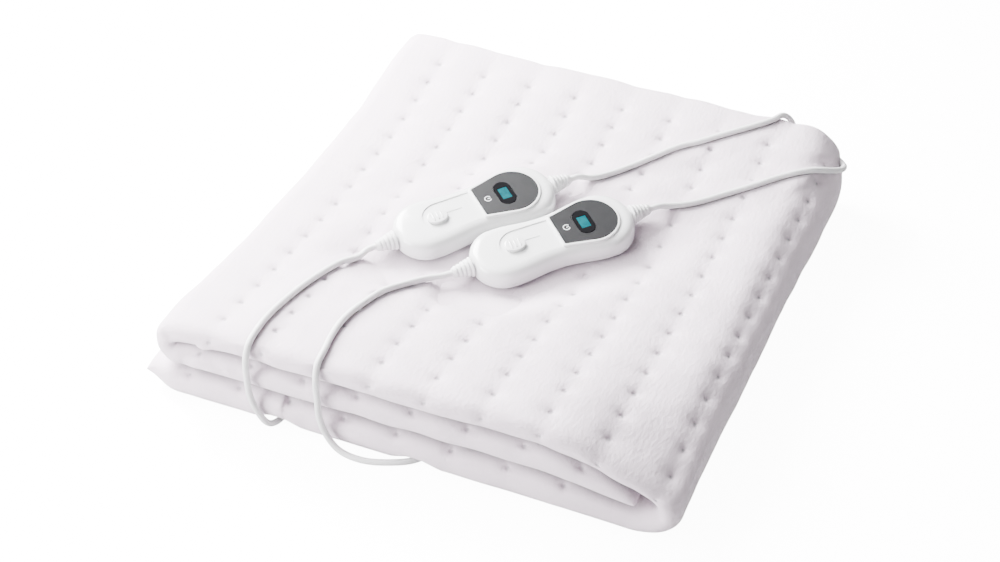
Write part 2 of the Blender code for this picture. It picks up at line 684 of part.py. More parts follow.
# ---------------------------------------------------------------- cords, coils and plugs
def smooth_line(route, spacing):
    """Points on one smooth curve through the route's own points, about a spacing apart.

    The first and last runs of the route stay one straight piece each."""
    knots = [Vector(point) for point in route]
    last = len(knots) - 1
    fine = []
    for index in range(1, last - 1):
        start, end = knots[index], knots[index + 1]
        reach = (end - start).length / 3
        leave = (end - knots[index - 1]).normalized() * reach
        arrive = (knots[index + 2] - start).normalized() * reach
        fine += geometry.interpolate_bezier(start, start + leave, end - arrive, end, 25)[:-1]
    fine.append(knots[last - 1])
    whole = sum((end - start).length for start, end in zip(fine, fine[1:]))
    step = whole / max(round(whole / spacing), 1)
    line = [knots[0], fine[0]]
    walked = 0.0
    for start, end in zip(fine, fine[1:]):
        walked += (end - start).length
        if walked >= step * (len(line) - 1) and whole - walked > step / 2:
            line.append(end)
    return line + [fine[-1], knots[last]]


def make_cord(name, route, group):
    curve = bpy.data.curves.new(name, "CURVE")
    curve.dimensions = "3D"
    curve.bevel_depth = CORD / 2
    curve.bevel_resolution = 2
    curve.use_fill_caps = True
    places = smooth_line(route, CORD_SPACING)
    line = curve.splines.new("POLY")
    line.points.add(len(places) - 1)
    for point, place in zip(line.points, places):
        point.co = (*place, 1.0)
    curve.materials.append(cord_material())
    cord = bpy.data.objects.new(name, curve)
    group.objects.link(cord)
    return cord


def on_top(places):
    """Where a cord's middle lies on the pile, for places given in mm."""
    lift = CORD / 2 + CORD_LIFT
    return [(x * MM, y * MM, top_height(x * MM, y * MM) + lift) for x, y in places]


def in_metres(places):
    return [tuple(value * MM for value in place) for place in places]


def relief_exit(letter, end):
    """Two points straight out of a control's strain relief."""
    lobe, radius = DISPLAY_LOBE if end == "lead" else SLIDER_LOBE
    side = 1 if end == "lead" else -1
    tip = lobe + side * (radius + FIT_GAP + RELIEF_LENGTH + FIT_GAP)
    frame = control_frame(*CONTROLS[letter])
    return [frame @ Vector((tip + side * run, 0.0, AXIS_HEIGHT)) for run in (0.0, EXIT_RUN)]


def channel_place(letter):
    return CHANNEL_A if letter == "a" else CHANNEL_B


def coil_centre(letter):
    """The coil lies beside its channel, close behind the blanket's back edge."""
    reach = COIL_RADIUS + COIL_PITCH / 2
    x = channel_place(letter) + COIL_SIDE[letter] * reach
    left_x = x - COIL_RADIUS - COIL_PITCH
    back = HALF_DEPTH - back_shift(left_x, HALF_DEPTH)
    return Vector((x, back + COIL_CLEAR + COIL_RADIUS + COIL_PITCH, 0.0))


def coil_reach():
    return COIL_RADIUS + COIL_PITCH


def make_mains(letter, group):
    """From the control over the front edge, back under the blanket and up to the coil."""
    channel = channel_place(letter)
    centre = coil_centre(letter)
    meet = math.sqrt(coil_reach() ** 2 - (COIL_RADIUS + COIL_PITCH / 2 - CORD / 2) ** 2)
    end_y = centre.y - meet - 2 * FIT_GAP
    rest = CORD / 2
    route = relief_exit(letter, "mains") + on_top(MAINS_TOP[letter]) + in_metres(MAINS_FALL[letter])
    route += [(x * MM, y * MM, rest) for x, y in MAINS_UNDER[letter]]
    route += [(channel, y * MM, rest) for y in CHANNEL_YS]
    low_turn = COIL_BOTTOM + COIL_PITCH / 2
    route.append((channel, end_y - 12 * MM, (rest + low_turn) / 2))
    route.append((channel, end_y, low_turn))
    return make_cord(f"mains_{letter}", route, group)


def make_lead(letter, group):
    """From the control over the blanket's far edge to the open edge of its layers."""
    route = relief_exit(letter, "lead") + on_top(LEAD_TOP[letter]) + in_metres(LEAD_FALL[letter])
    route += in_metres([LEAD_END[letter]])
    return make_cord(f"lead_{letter}", route, group)


def make_coil(letter, group):
    """The outer shape of the wound cord."""
    inner = COIL_RADIUS - COIL_PITCH
    outer = COIL_RADIUS + COIL_PITCH
    height = COIL_LAYERS * COIL_PITCH
    cut = COIL_ROUND
    profile = [(0.0, inner + cut), (0.0, outer - cut), (cut, outer), (height - cut, outer)]
    profile += [(height, outer - cut), (height, inner + cut), (height - cut, inner), (cut, inner)]
    coil = turned(f"coil_{letter}", profile, cord_material(), group, steps=26, closed=True)
    coil.rotation_euler = (0.0, -math.pi / 2, 0.0)
    coil.location = coil_centre(letter) + Vector((0.0, 0.0, COIL_BOTTOM))
    return coil


def make_tie(letter, group, cutters):
    """A flat band round the coil's turns."""
    centre = coil_centre(letter)
    inner_y = COIL_RADIUS - COIL_PITCH - 2 * FIT_GAP
    outer_y = COIL_RADIUS + COIL_PITCH + FIT_GAP
    low = COIL_BOTTOM - FIT_GAP
    high = COIL_BOTTOM + COIL_LAYERS * COIL_PITCH + FIT_GAP
    half = TIE_WIDTH / 2
    tie = box(f"tie_{letter}", (-half, inner_y - TIE_THICK, low - TIE_THICK),
              (half, outer_y + TIE_THICK, high + TIE_THICK), tie_material(), group)
    hole = box(f"tie_{letter}_hole", (-2 * half, inner_y, low), (2 * half, outer_y, high), None, group)
    combine(tie, hole, "DIFFERENCE", cutters)
    tie.location = centre
    hole.location = centre
    return tie


def plug_outline():
    """The flat plug seen from above, its cord end to the right and its pins to the left."""
    half = PLUG_WIDTH / 2
    neck = half * PLUG_NECK
    shoulder = PLUG_LENGTH * PLUG_SHOULDER
    return [(0.0, -neck), (0.0, neck), (-shoulder, half), (-PLUG_LENGTH, half),
            (-PLUG_LENGTH, -half), (-shoulder, -half)]


def make_plug(letter, group, cutters):
    """A flat two-pin plug lying past its coil, and the cord that runs to it over the lead below."""
    side = COIL_SIDE[letter]
    centre = coil_centre(letter)
    turn_radius = COIL_RADIUS + COIL_PITCH / 2
    axis_z = PLUG_THICK / 2
    back = HALF_DEPTH - back_shift(centre.x - side * 3 * turn_radius, HALF_DEPTH)
    axis_y = back + COIL_CLEAR + PLUG_WIDTH / 2
    tail_x = centre.x - side * PLUG_REACH
    leave = math.sqrt((coil_reach() + CORD / 2 + FIT_GAP) ** 2 - turn_radius ** 2)
    bottom_y = centre.y - turn_radius
    carrier = bpy.data.objects.new(f"plug_{letter}_carrier", None)
    group.objects.link(carrier)
    carrier.location = (tail_x, axis_y, axis_z)
    carrier.rotation_euler = (0.0, 0.0, 0.0 if side > 0 else math.pi)
    body = flat_plate(f"plug_{letter}", [(x - PLUG_TAIL, y) for x, y in plug_outline()],
                      -PLUG_THICK / 2, PLUG_THICK / 2, cord_material(), group, bevel=2.2 * MM)
    tail_profile = [(-PLUG_TAIL - 3 * MM, 0.0), (-PLUG_TAIL - 3 * MM, PLUG_TAIL_RADIUS + 1 * MM),
                    (0.0, PLUG_TAIL_RADIUS), (0.0, 0.0)]
    tail = turned(f"plug_{letter}_tail", tail_profile, None, group)
    combine(body, tail, "UNION", cutters)
    moved = [body, tail]
    for index in (0, 1):
        start = -PLUG_TAIL - PLUG_LENGTH - FIT_GAP
        end = start - PIN_LENGTH
        profile = [(end, 0.0), (end, PIN_RADIUS - 0.6 * MM), (end + 0.8 * MM, PIN_RADIUS),
                   (start, PIN_RADIUS), (start, 0.0)]
        pin = turned(f"plug_{letter}_pin_{index + 1}", profile, pin_material(), group, steps=8)
        pin.location = (0.0, (index - 0.5) * PIN_SPACING, 0.0)
        moved.append(pin)
    for piece in moved:
        piece.parent = carrier
    top_turn = COIL_BOTTOM + (COIL_LAYERS - 0.5) * COIL_PITCH
    shift = axis_y - bottom_y
    reaches = (turn_radius, turn_radius + 14 * MM, PLUG_REACH - 12 * MM)
    route = [(centre.x - side * leave, bottom_y, top_turn - 2 * FIT_GAP)]
    for reach, (across, height) in zip(reaches, TAIL_FALL):
        route.append((centre.x - side * reach, bottom_y + across * shift, height * MM))
    route.append((tail_x + side * FIT_GAP, axis_y, axis_z))
    return make_cord(f"mains_{letter}_tail", route, group)


clear_scene()
parts = new_collection("electric_heated_blanket")
guides = new_collection("cutters")
make_blanket(parts)
for control in CONTROLS:
    make_control(control, parts, guides)
    make_lead(control, parts)
    make_mains(control, parts)
    make_coil(control, parts)
    make_tie(control, parts, guides)
    make_plug(control, parts, guides)
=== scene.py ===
"""Looks of the folded electric heated blanket: its quilted cloth, cords and hand controls.

Metres, +Z up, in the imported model's own frame. Sizes are those of the part, except where a
comment says that they are this file's own."""

from math import atan2, cos, degrees, exp, hypot, pi, radians, sin, sqrt, tan

import bmesh
import bpy
import numpy as np
from mathutils import Matrix, Vector, geometry, kdtree, noise


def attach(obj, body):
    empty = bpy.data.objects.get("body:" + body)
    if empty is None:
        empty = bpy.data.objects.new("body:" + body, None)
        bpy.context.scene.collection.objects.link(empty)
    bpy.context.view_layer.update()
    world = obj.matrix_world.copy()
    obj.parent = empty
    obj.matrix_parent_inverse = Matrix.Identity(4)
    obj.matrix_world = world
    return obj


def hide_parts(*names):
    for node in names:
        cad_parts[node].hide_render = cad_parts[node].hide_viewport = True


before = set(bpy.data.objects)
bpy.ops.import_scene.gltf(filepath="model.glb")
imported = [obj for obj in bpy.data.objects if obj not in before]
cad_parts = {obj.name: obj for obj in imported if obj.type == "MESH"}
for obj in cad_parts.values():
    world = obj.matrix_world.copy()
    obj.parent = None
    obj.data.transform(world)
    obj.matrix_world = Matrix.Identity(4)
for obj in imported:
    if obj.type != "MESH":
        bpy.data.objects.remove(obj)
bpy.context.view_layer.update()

MM = 0.001
BODY = "pile"


# ================ camera
CAMERA_PLACE = (0.5132, -1.1845, 1.0553)
CAMERA_RIGHT = (0.91724, 0.39815, -0.01226)
CAMERA_DOWN = (0.24224, -0.58197, -0.77629)
CAMERA_LENS = 66.0
SENSOR = 36.0


def make_camera():
    data = bpy.data.cameras.new("camera")
    data.lens = CAMERA_LENS
    data.sensor_width = SENSOR
    data.clip_end = 20
    camera = link(bpy.data.objects.new("camera", data))
    right = Vector(CAMERA_RIGHT).normalized()
    up = -Vector(CAMERA_DOWN)
    up = (up - right * up.dot(right)).normalized()
    turn = Matrix((right, up, right.cross(up))).transposed()
    camera.matrix_world = Matrix.Translation(CAMERA_PLACE) @ turn.to_4x4()
    bpy.context.scene.camera = camera


# ================ shared tools
def smooth(start, end, value):
    """0 before start, 1 after end, and an even curve between."""
    share = min(max((value - start) / (end - start), 0.0), 1.0)
    return share * share * (3 - 2 * share)


def bell(value, width):
    return exp(-((value / width) ** 2))


def at_least(low, share):
    """A share of 0 to 1, brought into the range from low to 1."""
    return low + (1 - low) * share


def link(thing):
    bpy.context.scene.collection.objects.link(thing)
    return thing


def add_mesh(name, bm, finish):
    mesh = bpy.data.meshes.new(name)
    bm.to_mesh(mesh)
    bm.free()
    mesh.materials.append(finish)
    return link(bpy.data.objects.new(name, mesh))


def close_rings(rings):
    """A mesh of walls from each ring of points to the next, closed at both ends.

    A ring of one point is a tip."""
    bm = bmesh.new()
    rings = [[bm.verts.new(point) for point in ring] for ring in rings]
    count = len(rings[1])
    for low, high in zip(rings, rings[1:]):
        for index in range(count):
            after = (index + 1) % count
            corners = (low[index % len(low)], low[after % len(low)],
                       high[after % len(high)], high[index % len(high)])
            bm.faces.new(tuple(dict.fromkeys(corners)))
    for ring, way in ((rings[0], -1), (rings[-1], 1)):
        if len(ring) > 1:
            bm.faces.new(ring[::way])
    return bm


def arc(centre_x, radius, first, last, steps):
    """Points (x, y) on a circle about a place on X, between two angles in degrees."""
    for step in range(steps + 1):
        angle = radians(first + (last - first) * step / steps)
        yield centre_x + radius * cos(angle), radius * sin(angle)


# ================ materials
class Nodes:
    """A short way to write a node material."""

    def __init__(self, name):
        self.material = bpy.data.materials.new(name)
        self.material.use_nodes = True
        self.tree = self.material.node_tree
        self.shader = self.tree.nodes["Principled BSDF"]

    def give(self, socket, value):
        if isinstance(value, bpy.types.NodeSocket):
            self.tree.links.new(value, socket)
        else:
            socket.default_value = value

    def fill(self, node, *values):
        """Its inputs in their own order, each a plain value or another node's output."""
        for socket, value in zip(node.inputs, values):
            self.give(socket, value)
        return node.outputs[0]

    def feed(self, node, **settings):
        """Its inputs and properties by their names."""
        for key, value in settings.items():
            socket = node.inputs.get(key.replace("_", " "))
            if socket is None:
                setattr(node, key, value)
            else:
                self.give(socket, value)
        return node

    def add(self, kind, **settings):
        return self.feed(self.tree.nodes.new(kind), **settings)

    def maths(self, operation, *values):
        return self.fill(self.add("ShaderNodeMath", operation=operation), *values)

    def mottle(self, scale, detail, stretch=None):
        """Soft noise in the object's own metres, drawn out where a stretch is given."""
        place = self.add("ShaderNodeTexCoord").outputs["Object"]
        if stretch:
            place = self.add("ShaderNodeMapping", Scale=stretch, Vector=place).outputs[0]
        return self.add("ShaderNodeTexNoise", Scale=scale, Detail=detail, Vector=place).outputs["Fac"]

    def ramp(self, source, *stops):
        """Between two colours, each given with its place on the ramp."""
        node = self.add("ShaderNodeValToRGB", Fac=source)
        for element, (place, colour) in zip(node.color_ramp.elements, stops):
            element.position = place
            element.color = (*colour, 1.0)
        return node.outputs["Color"]

    def rise(self, source, low, high):
        """0 where the source is under low, 1 over high, and an even curve between."""
        return self.add("ShaderNodeMapRange", interpolation_type="SMOOTHSTEP", From_Min=low,
                        From_Max=high, Value=source).outputs[0]

    def blend(self, factor, dark, source):
        """The dark colour where the factor is 0 and the source's own where it is 1."""
        return self.add("ShaderNodeMix", data_type="RGBA", A=(*dark, 1.0), B=source,
                        Factor=factor).outputs["Result"]

    def bump(self, height, distance, strength, before=None):
        node = self.add("ShaderNodeBump", Distance=distance, Strength=strength, Height=height)
        if before is not None:
            self.feed(node, Normal=before)
        return node.outputs["Normal"]


SEWN_SHADE = (0.7 * MM, 2.3 * MM)  # from a dot's middle, where its darker colour fades out
SEWN_PIT = (0.8 * MM, 3.4 * MM)  # and its pit
SEWN_COLOUR = (0.55, 0.50, 0.55)
# painted shade: the colour the cloth is darkened toward in its nooks, between the layers and beside
# the cords
NOOK_SHADE_COLOUR = (0.27, 0.24, 0.265)
NOOK_SHADE_REACH = 12 * MM  # how near another layer or a cord has to be for the painted shade in a nook
NOOK_SHADE_POWER = 1.3
# the cloth's unevenness, its pressed creases and its fibres: noise scale, detail and stretch, then
# the bump's distance and strength
CLOTH_BUMPS = (
    (34, 3, None, 0.0018, 0.6),
    (330, 5, (1.0, 0.5, 1.0), 0.0009, 0.65),
    (900, 4, None, 0.0002, 0.5),
)


def cloth_material():
    """Soft pressed fibres, sewn dots, and painted shade in the nooks between the layers.

    The mesh carries each point's distance to the dots' column and row, and whether it can be seen."""
    made = Nodes("quilted_cloth")
    sheet = made.add("ShaderNodeAttribute", attribute_name="sheet_place")
    split = made.add("ShaderNodeSeparateXYZ", Vector=sheet.outputs["Vector"])
    to_column, to_row, outer = split.outputs
    far = made.maths("ADD", made.maths("POWER", to_column, 2), made.maths("POWER", to_row, 2))
    far = made.maths("SQRT", far)
    far = made.maths("ADD", far, made.maths("SUBTRACT", 1, outer))

    shade = made.ramp(made.mottle(9, 4), (0.25, (0.825, 0.705, 0.790)), (0.75, (0.880, 0.760, 0.845)))
    shade = made.blend(made.rise(far, *SEWN_SHADE), SEWN_COLOUR, shade)
    # painted shade: an ambient occlusion node darkens the cloth's colour where other cloth or a cord
    # lies near
    nook_shading = made.add("ShaderNodeAmbientOcclusion", samples=6, Distance=NOOK_SHADE_REACH)
    shade = made.blend(made.maths("POWER", nook_shading.outputs["AO"], NOOK_SHADE_POWER), NOOK_SHADE_COLOUR, shade)

    normal = None
    for scale, detail, stretch, distance, strength in CLOTH_BUMPS:
        normal = made.bump(made.mottle(scale, detail, stretch), distance, strength, normal)
    normal = made.bump(made.rise(far, *SEWN_PIT), 0.0011, 0.6, normal)
    made.feed(made.shader, Base_Color=shade, Normal=normal, Roughness=0.92, Sheen_Weight=0.25,
              Sheen_Roughness=0.6, Specular_IOR_Level=0.25)
    return made.material


def plastic_material(name, colour, roughness, wave=0.05 * MM, **more):
    """Moulded plastic: a nearly even colour, faint unevenness in gloss and surface."""
    made = Nodes(name)
    low = tuple(value * 0.965 for value in colour)
    gloss = made.add("ShaderNodeMapRange", To_Min=roughness * 0.85, To_Max=min(roughness * 1.2, 1.0),
                     Value=made.mottle(120, 3))
    normal = made.bump(made.mottle(60, 2), wave, 0.3)
    normal = made.bump(made.mottle(2600, 2), 0.01 * MM, 0.25, normal)
    made.feed(made.shader, Base_Color=made.ramp(made.mottle(22, 2), (0.3, low), (0.7, colour)),
              Roughness=gloss.outputs[0], Normal=normal, **more)
    return made.material


def display_material():
    """A lit liquid-crystal display, a little uneven."""
    made = Nodes("display_teal")
    glow = made.ramp(made.mottle(150, 2), (0.35, (0.0, 0.22, 0.27)), (0.65, (0.002, 0.36, 0.41)))
    made.feed(made.shader, Emission_Color=glow, Emission_Strength=0.9,
              Base_Color=(0.0, 0.022, 0.028, 1), Roughness=0.2)
    return made.material


def metal_material():
    made = Nodes("pin_brass")
    shade = made.ramp(made.mottle(300, 3), (0.3, (0.70, 0.66, 0.52)), (0.7, (0.80, 0.76, 0.63)))
    made.feed(made.shader, Base_Color=shade, Metallic=1.0, Roughness=0.24)
    return made.material


# ================ the pile's shape
SHEET = 6 * MM
LAYER_GAP = 1.3 * MM
PLY_GAP = 1.6 * MM
PLY_HALF = (3 * SHEET + 2 * LAYER_GAP) / 2
LAYER_STEP = SHEET + LAYER_GAP
STACK = 6 * PLY_HALF + 2 * PLY_GAP

HALF_WIDTH = 241.5 * MM
HALF_DEPTH = 248 * MM
BACK_SKEW = 17 * MM
SKEW_START = 110 * MM
# this file's own: the fold's back corner, drawn in and swollen out and back, fuller than the part's
CORNER_DRAW = 9 * MM
CORNER_START = (150 * MM, 188 * MM)
NOSE_SWELL = (3.5 * MM, 8 * MM)
SWELL_START = 170 * MM
SWELL_OUT = (60 * MM, 200 * MM)
SWELL_BACK = 150 * MM
NOSE_REACH = 32 * MM
TIP_LEFT = -224 * MM
MIDDLE_END = 205 * MM
ROLL_REACH = 13 * MM
BACK_REACH = 8 * MM
HEM_SETBACK = 7 * MM
END_TAPER = 0.55
TAPER_LENGTH = 30 * MM
END_ROUND = 9 * MM

DOT_PITCH_X = 48.6 * MM
DOT_PITCH_Y = 28.3 * MM
DOT_COLUMN_8 = 174 * MM
DOT_ROW_0 = -220.5 * MM
# this file's own, as too fine for the part: depth and radius of the sewn pit, of the wide dish
# around it and of the shallow trough along each column of dots
DOT_PIT = (1.9 * MM, 3.9 * MM)
DOT_DISH = (1.4 * MM, 10.5 * MM)
COLUMN_DISH = (0.8 * MM, 10 * MM)
FRONT_DOT_ANGLE = 76.0  # where the top ply's front row of dots lies, from its top
LOWER_DOT_ANGLE = 36.0  # and the lower plies' rows

FREE_FACTOR = 0.975  # the height away from the edges and the seat, as a share of the even pile's
FRONT_RISE = 0.33
FRONT_SPAN = 126 * MM
BACK_RISE = 0.31
BACK_SPAN = 107 * MM
SHOULDER_DROP = 0.50
SHOULDER_START = 120 * MM
SHOULDER_SPAN = 95 * MM
LEFT_DROP = 0.13
BELLY = 0.32
# this file's own: the bottom ply's front corner, rounded off in plan back from the front and, by a
# share of that, from the left; where it starts, and the height above which it fades
LEFT_DRAW = 9 * MM
LEFT_SHARE = 1 / 4
LEFT_START = (203 * MM, 180 * MM)
LEFT_TOP = 36 * MM
LEFT_FADE = 15 * MM

SEAT_CENTRE = (1 * MM, -8 * MM)
SEAT_HEIGHT = 63 * MM
SEAT_SLOPE = radians(9)
SEAT_TURN = radians(24)
SEAT_CLEAR = 35 * MM  # this and the next are this file's own: a narrower seat than the part's
SEAT_FADE = 50 * MM
SEAT_LINE = 62 * MM
CONTROLS = {"a": (-37.5 * MM, -1.8 * MM, 49.0), "b": (39.1 * MM, -6.5 * MM, 47.0)}

# the channels under the pile that the mains cords lie in, a little wider here than the part's
CHANNELS = {"a": -111 * MM, "b": 29.5 * MM}
CHANNEL_LIFT = 6.6 * MM
CHANNEL_FLAT = 3.5 * MM
CHANNEL_EDGE = 24 * MM
CHANNEL_FADE = 44 * MM
MOUTH_SHIFT = 14 * MM
MOUTH_LENGTH = 48 * MM

LOFT = 1 * MM  # the cloth stands this much prouder than the part's solid, off the seat


def seat_height(x, y):
    """The sloping plane that the hand controls lie on."""
    away = (y - SEAT_CENTRE[1]) * cos(SEAT_TURN) - (x - SEAT_CENTRE[0]) * sin(SEAT_TURN)
    return SEAT_HEIGHT + away * tan(SEAT_SLOPE)


def seat_distance(x, y):
    """How far a place lies from the hand controls' middle lines."""
    nearest = []
    for centre_x, centre_y, turn in CONTROLS.values():
        along_x, along_y = cos(radians(turn)), sin(radians(turn))
        along = (x - centre_x) * along_x + (y - centre_y) * along_y
        held = min(max(along, -SEAT_LINE), SEAT_LINE)
        nearest.append(hypot(x - centre_x - held * along_x, y - centre_y - held * along_y))
    return min(nearest)


def pile_factor(x, y):
    """How much the pile is stretched in height at a place of its plan."""
    from_front = y + HALF_DEPTH
    from_back = HALF_DEPTH - y
    front = bell(from_front, FRONT_SPAN)
    back = bell(from_back, BACK_SPAN)
    pressed = bell(from_front, SHOULDER_SPAN)
    shoulder = SHOULDER_DROP * smooth(SHOULDER_START, HALF_WIDTH, x) * pressed
    shoulder += LEFT_DROP * smooth(SHOULDER_START, HALF_WIDTH, -x) * pressed
    free = FREE_FACTOR + FRONT_RISE * front + BACK_RISE * back - shoulder
    share = 1 - smooth(SEAT_CLEAR, SEAT_CLEAR + SEAT_FADE, seat_distance(x, y))
    return free * (1 - share) + share * seat_height(x, y) / STACK


def channel_lift(x, y):
    """How much the cloth is lifted off the floor over the mains cords."""
    mouth = MOUTH_SHIFT * (1 - smooth(-HALF_DEPTH, -HALF_DEPTH + MOUTH_LENGTH, y))
    nearest = min(abs(x - CHANNELS["a"]), abs(x - CHANNELS["b"] + mouth))
    return CHANNEL_LIFT * (1 - smooth(CHANNEL_FLAT, CHANNEL_EDGE, nearest))


def back_shift(x, y):
    """How much the back edge comes forward toward the right."""
    return BACK_SKEW * (x + HALF_WIDTH) / (2 * HALF_WIDTH) * smooth(SKEW_START, HALF_DEPTH, y)


def settle(x, y, z):
    """From the even pile to the pile as it lies."""
    share = z / STACK
    front = bell(y + HALF_DEPTH, FRONT_SPAN)
    height = STACK * pile_factor(x, y) * (share + BELLY * front * share * (1 - share))
    height += channel_lift(x, y) * max(0.0, 1 - height / CHANNEL_FADE)
    corner = smooth(CORNER_START[0], HALF_WIDTH, x) * smooth(CORNER_START[1], HALF_DEPTH, y) ** 2
    left = smooth(-LEFT_START[0], -HALF_WIDTH, x) ** 1.5 * smooth(-LEFT_START[1], -HALF_DEPTH, y)
    left *= 1 - smooth(LEFT_TOP, LEFT_TOP + LEFT_FADE, height)
    swell = smooth(SWELL_START, HALF_WIDTH, x)
    out = NOSE_SWELL[0] * swell * smooth(*SWELL_OUT, y)
    back = NOSE_SWELL[1] * swell * smooth(SWELL_BACK, HALF_DEPTH, y) + LEFT_DRAW * left
    return Vector((x - CORNER_DRAW * corner + LEFT_DRAW * LEFT_SHARE * left + out,
                   y - back_shift(x, y) + back, height))


def top_height(x, y):
    """How high the settled pile's top is, with the back's shift undone in two rounds."""
    even_y = y + back_shift(x, y)
    even_y = y + back_shift(x, even_y)
    return settle(x, even_y, STACK).z


# ================ cords
CASE_WIDEN = 1.08
SLIDER_LOBE = (-49 * MM, 27.9 * MM)
DISPLAY_LOBE = (45.3 * MM, 30.6 * MM)
AXIS_HEIGHT = 10.6 * MM
RELIEF_LENGTH = 18 * MM
FIT_GAP = 0.3 * MM

CORD = 5.5 * MM
CORD_LIFT = 1.6 * MM
EXIT_RUN = 7 * MM
RELIEF_SAG = 3.2 * MM  # this and the next are this file's own, as are the tables' first points
SAG_POINTS = 1.4
LINE_SPACING = 2.5 * MM

# where each cord lies: x, y on top of the pile, then x, y, z off its edges, all in mm
MAINS_TOP = {
    "a": ((-109, -90), (-117, -109), (-123, -136), (-127.5, -162), (-129.5, -185),
          (-130.5, -207), (-129.5, -228)),
    "b": ((-43, -94.5), (-55, -113.5), (-63.5, -136), (-69, -157), (-72, -175), (-72.5, -194),
          (-70, -215), (-67, -230)),
}
MAINS_FALL = {
    "a": ((-128.5, -246, 85.5), (-128.5, -253, 74), (-129.5, -253, 55), (-128.5, -253.5, 36),
          (-123, -253, 19), (-116, -250, 6.5)),
    "b": ((-65.5, -246, 86), (-64.5, -253, 75), (-64.5, -253.5, 56), (-64, -254, 36),
          (-59, -254.5, 19), (-47, -256, 6.5), (-28, -256, 2.9), (-8, -251, 2.9)),
}
MAINS_UNDER = {
    "a": ((-112, -240), (-111, -220)),
    "b": ((13, -239), (22.5, -222), (28, -202), (29.5, -176)),
}
CHANNEL_YS = (-120, -40, 40, 120, 180, 220)
LEAD_TOP = {
    "a": ((41, 83), (52.5, 101), (66, 121.5), (80.5, 140), (98, 160), (114, 172), (129, 185),
          (144, 198), (158, 211), (168, 222)),
    "b": ((118, 75), (130, 85.5), (142.5, 98), (156, 112), (176, 131), (197, 151), (210, 161)),
}
LEAD_FALL = {
    "a": ((175, 234, 87), (182, 241, 77), (186, 240, 65), (187, 233.5, 58)),
    "b": ((223, 172, 78), (235, 184.5, 72.5), (242, 198, 66), (242, 213, 60), (234, 226, 56),
          (223, 233, 54.5), (212, 236, 54.5)),
}

COIL_RADIUS = 30 * MM
COIL_PITCH = 5.6 * MM
COIL_BOTTOM = 1.4 * MM
COIL_CLEAR = 5 * MM
COIL_SIDE = {"a": 1, "b": -1}
# the turns in the order they are wound: layer, and 1 for the outer row or -1 for the inner
COIL_TURNS = ((0, 1), (0, -1), (1, -1), (1, 1), (2, 1))
COIL_ROW = 2.78 * MM  # each row's own distance from the coil's middle line
COIL_STEPS = 30
ROW_CHANGE = 0.72  # the share of a turn after which the cord moves over to the next row or layer
PLUG_WIDTH = 35.3 * MM
PLUG_THICK = 13.7 * MM
PLUG_REACH = 72 * MM


def smooth_line(route, spacing):
    """Points on one smooth curve through the route's own points, about a spacing apart."""
    knots = [Vector(point) for point in route]
    last = len(knots) - 1
    fine = []
    for index in range(last):
        start, end = knots[index], knots[index + 1]
        reach = (end - start).length / 3
        before = knots[index - 1] if index else start
        beyond = knots[index + 2] if index + 2 <= last else end
        leave = (end - before).normalized() * reach
        arrive = (beyond - start).normalized() * reach
        if index == 0:
            arrive = leave
        fine += geometry.interpolate_bezier(start, start + leave, end - arrive, end, 25)[:-1]
    fine.append(knots[last])
    whole = sum((end - start).length for start, end in zip(fine, fine[1:]))
    step = whole / max(round(whole / spacing), 1)
    line = [fine[0]]
    walked = 0.0
    for start, end in zip(fine, fine[1:]):
        walked += (end - start).length
        if walked >= step * len(line) and whole - walked > step / 2:
            line.append(end)
    return line + [fine[-1]]


def in_metres(places):
    return [tuple(value * MM for value in place) for place in places]


def on_top(places):
    """On the pile's top, and still a little above it where the cord comes down from its relief."""
    line = []
    for index, (x, y) in enumerate(in_metres(places)):
        lift = CORD / 2 + CORD_LIFT + RELIEF_SAG * exp(-index / SAG_POINTS)
        line.append((x, y, top_height(x, y) + lift))
    return line


def control_frame(x, y, turn):
    """Where a hand control lies on the sloping seat: its base's middle, its length along X."""
    slope_x = seat_height(1.0, 0.0) - seat_height(0.0, 0.0)
    slope_y = seat_height(0.0, 1.0) - seat_height(0.0, 0.0)
    up = Vector((-slope_x, -slope_y, 1.0)).normalized()
    along = Vector((cos(radians(turn)), sin(radians(turn)), 0.0))
    along = (along - up * along.dot(up)).normalized()
    across = up.cross(along)
    turned_frame = Matrix((along, across, up)).transposed().to_4x4()
    turned_frame.translation = Vector((x, y, seat_height(x, y))) + up * FIT_GAP
    return turned_frame


def relief_exit(letter, end):
    """Two points straight out of a control's strain relief."""
    lobe, radius = DISPLAY_LOBE if end == "lead" else SLIDER_LOBE
    side = 1 if end == "lead" else -1
    tip = lobe + side * (radius + FIT_GAP + RELIEF_LENGTH + FIT_GAP)
    carrier = control_frame(*CONTROLS[letter])
    return [carrier @ Vector((tip + side * run, 0.0, AXIS_HEIGHT)) for run in (0.0, EXIT_RUN)]


def coil_centre(letter):
    """The coil's middle on the floor, behind the pile and beside the cord's channel."""
    channel = CHANNELS[letter]
    x = channel + COIL_SIDE[letter] * (COIL_RADIUS + COIL_PITCH / 2)
    left_x = x - COIL_RADIUS - COIL_PITCH
    back = HALF_DEPTH - back_shift(left_x, HALF_DEPTH)
    return Vector((x, back + COIL_CLEAR + COIL_RADIUS + COIL_PITCH, 0.0))


def coil_route(letter):
    """The turns, which start beside the channel and end at the near side of the coil."""
    side = COIL_SIDE[letter]
    centre = coil_centre(letter)
    whole = len(COIL_TURNS) - 0.25
    steps = int(whole * COIL_STEPS)
    route = []
    for step in range(2, steps + 1):
        turn = step / COIL_STEPS
        first = min(int(turn), len(COIL_TURNS) - 1)
        second = min(first + 1, len(COIL_TURNS) - 1)
        share = smooth(ROW_CHANGE, 1.0, turn - first)
        layer, row = (a + (b - a) * share for a, b in zip(COIL_TURNS[first], COIL_TURNS[second]))
        angle = pi - 2 * pi * turn
        radius = COIL_RADIUS + row * COIL_ROW
        route.append((centre.x + side * radius * cos(angle), centre.y + radius * sin(angle),
                      COIL_BOTTOM + (layer + 0.5) * COIL_PITCH))
    return route


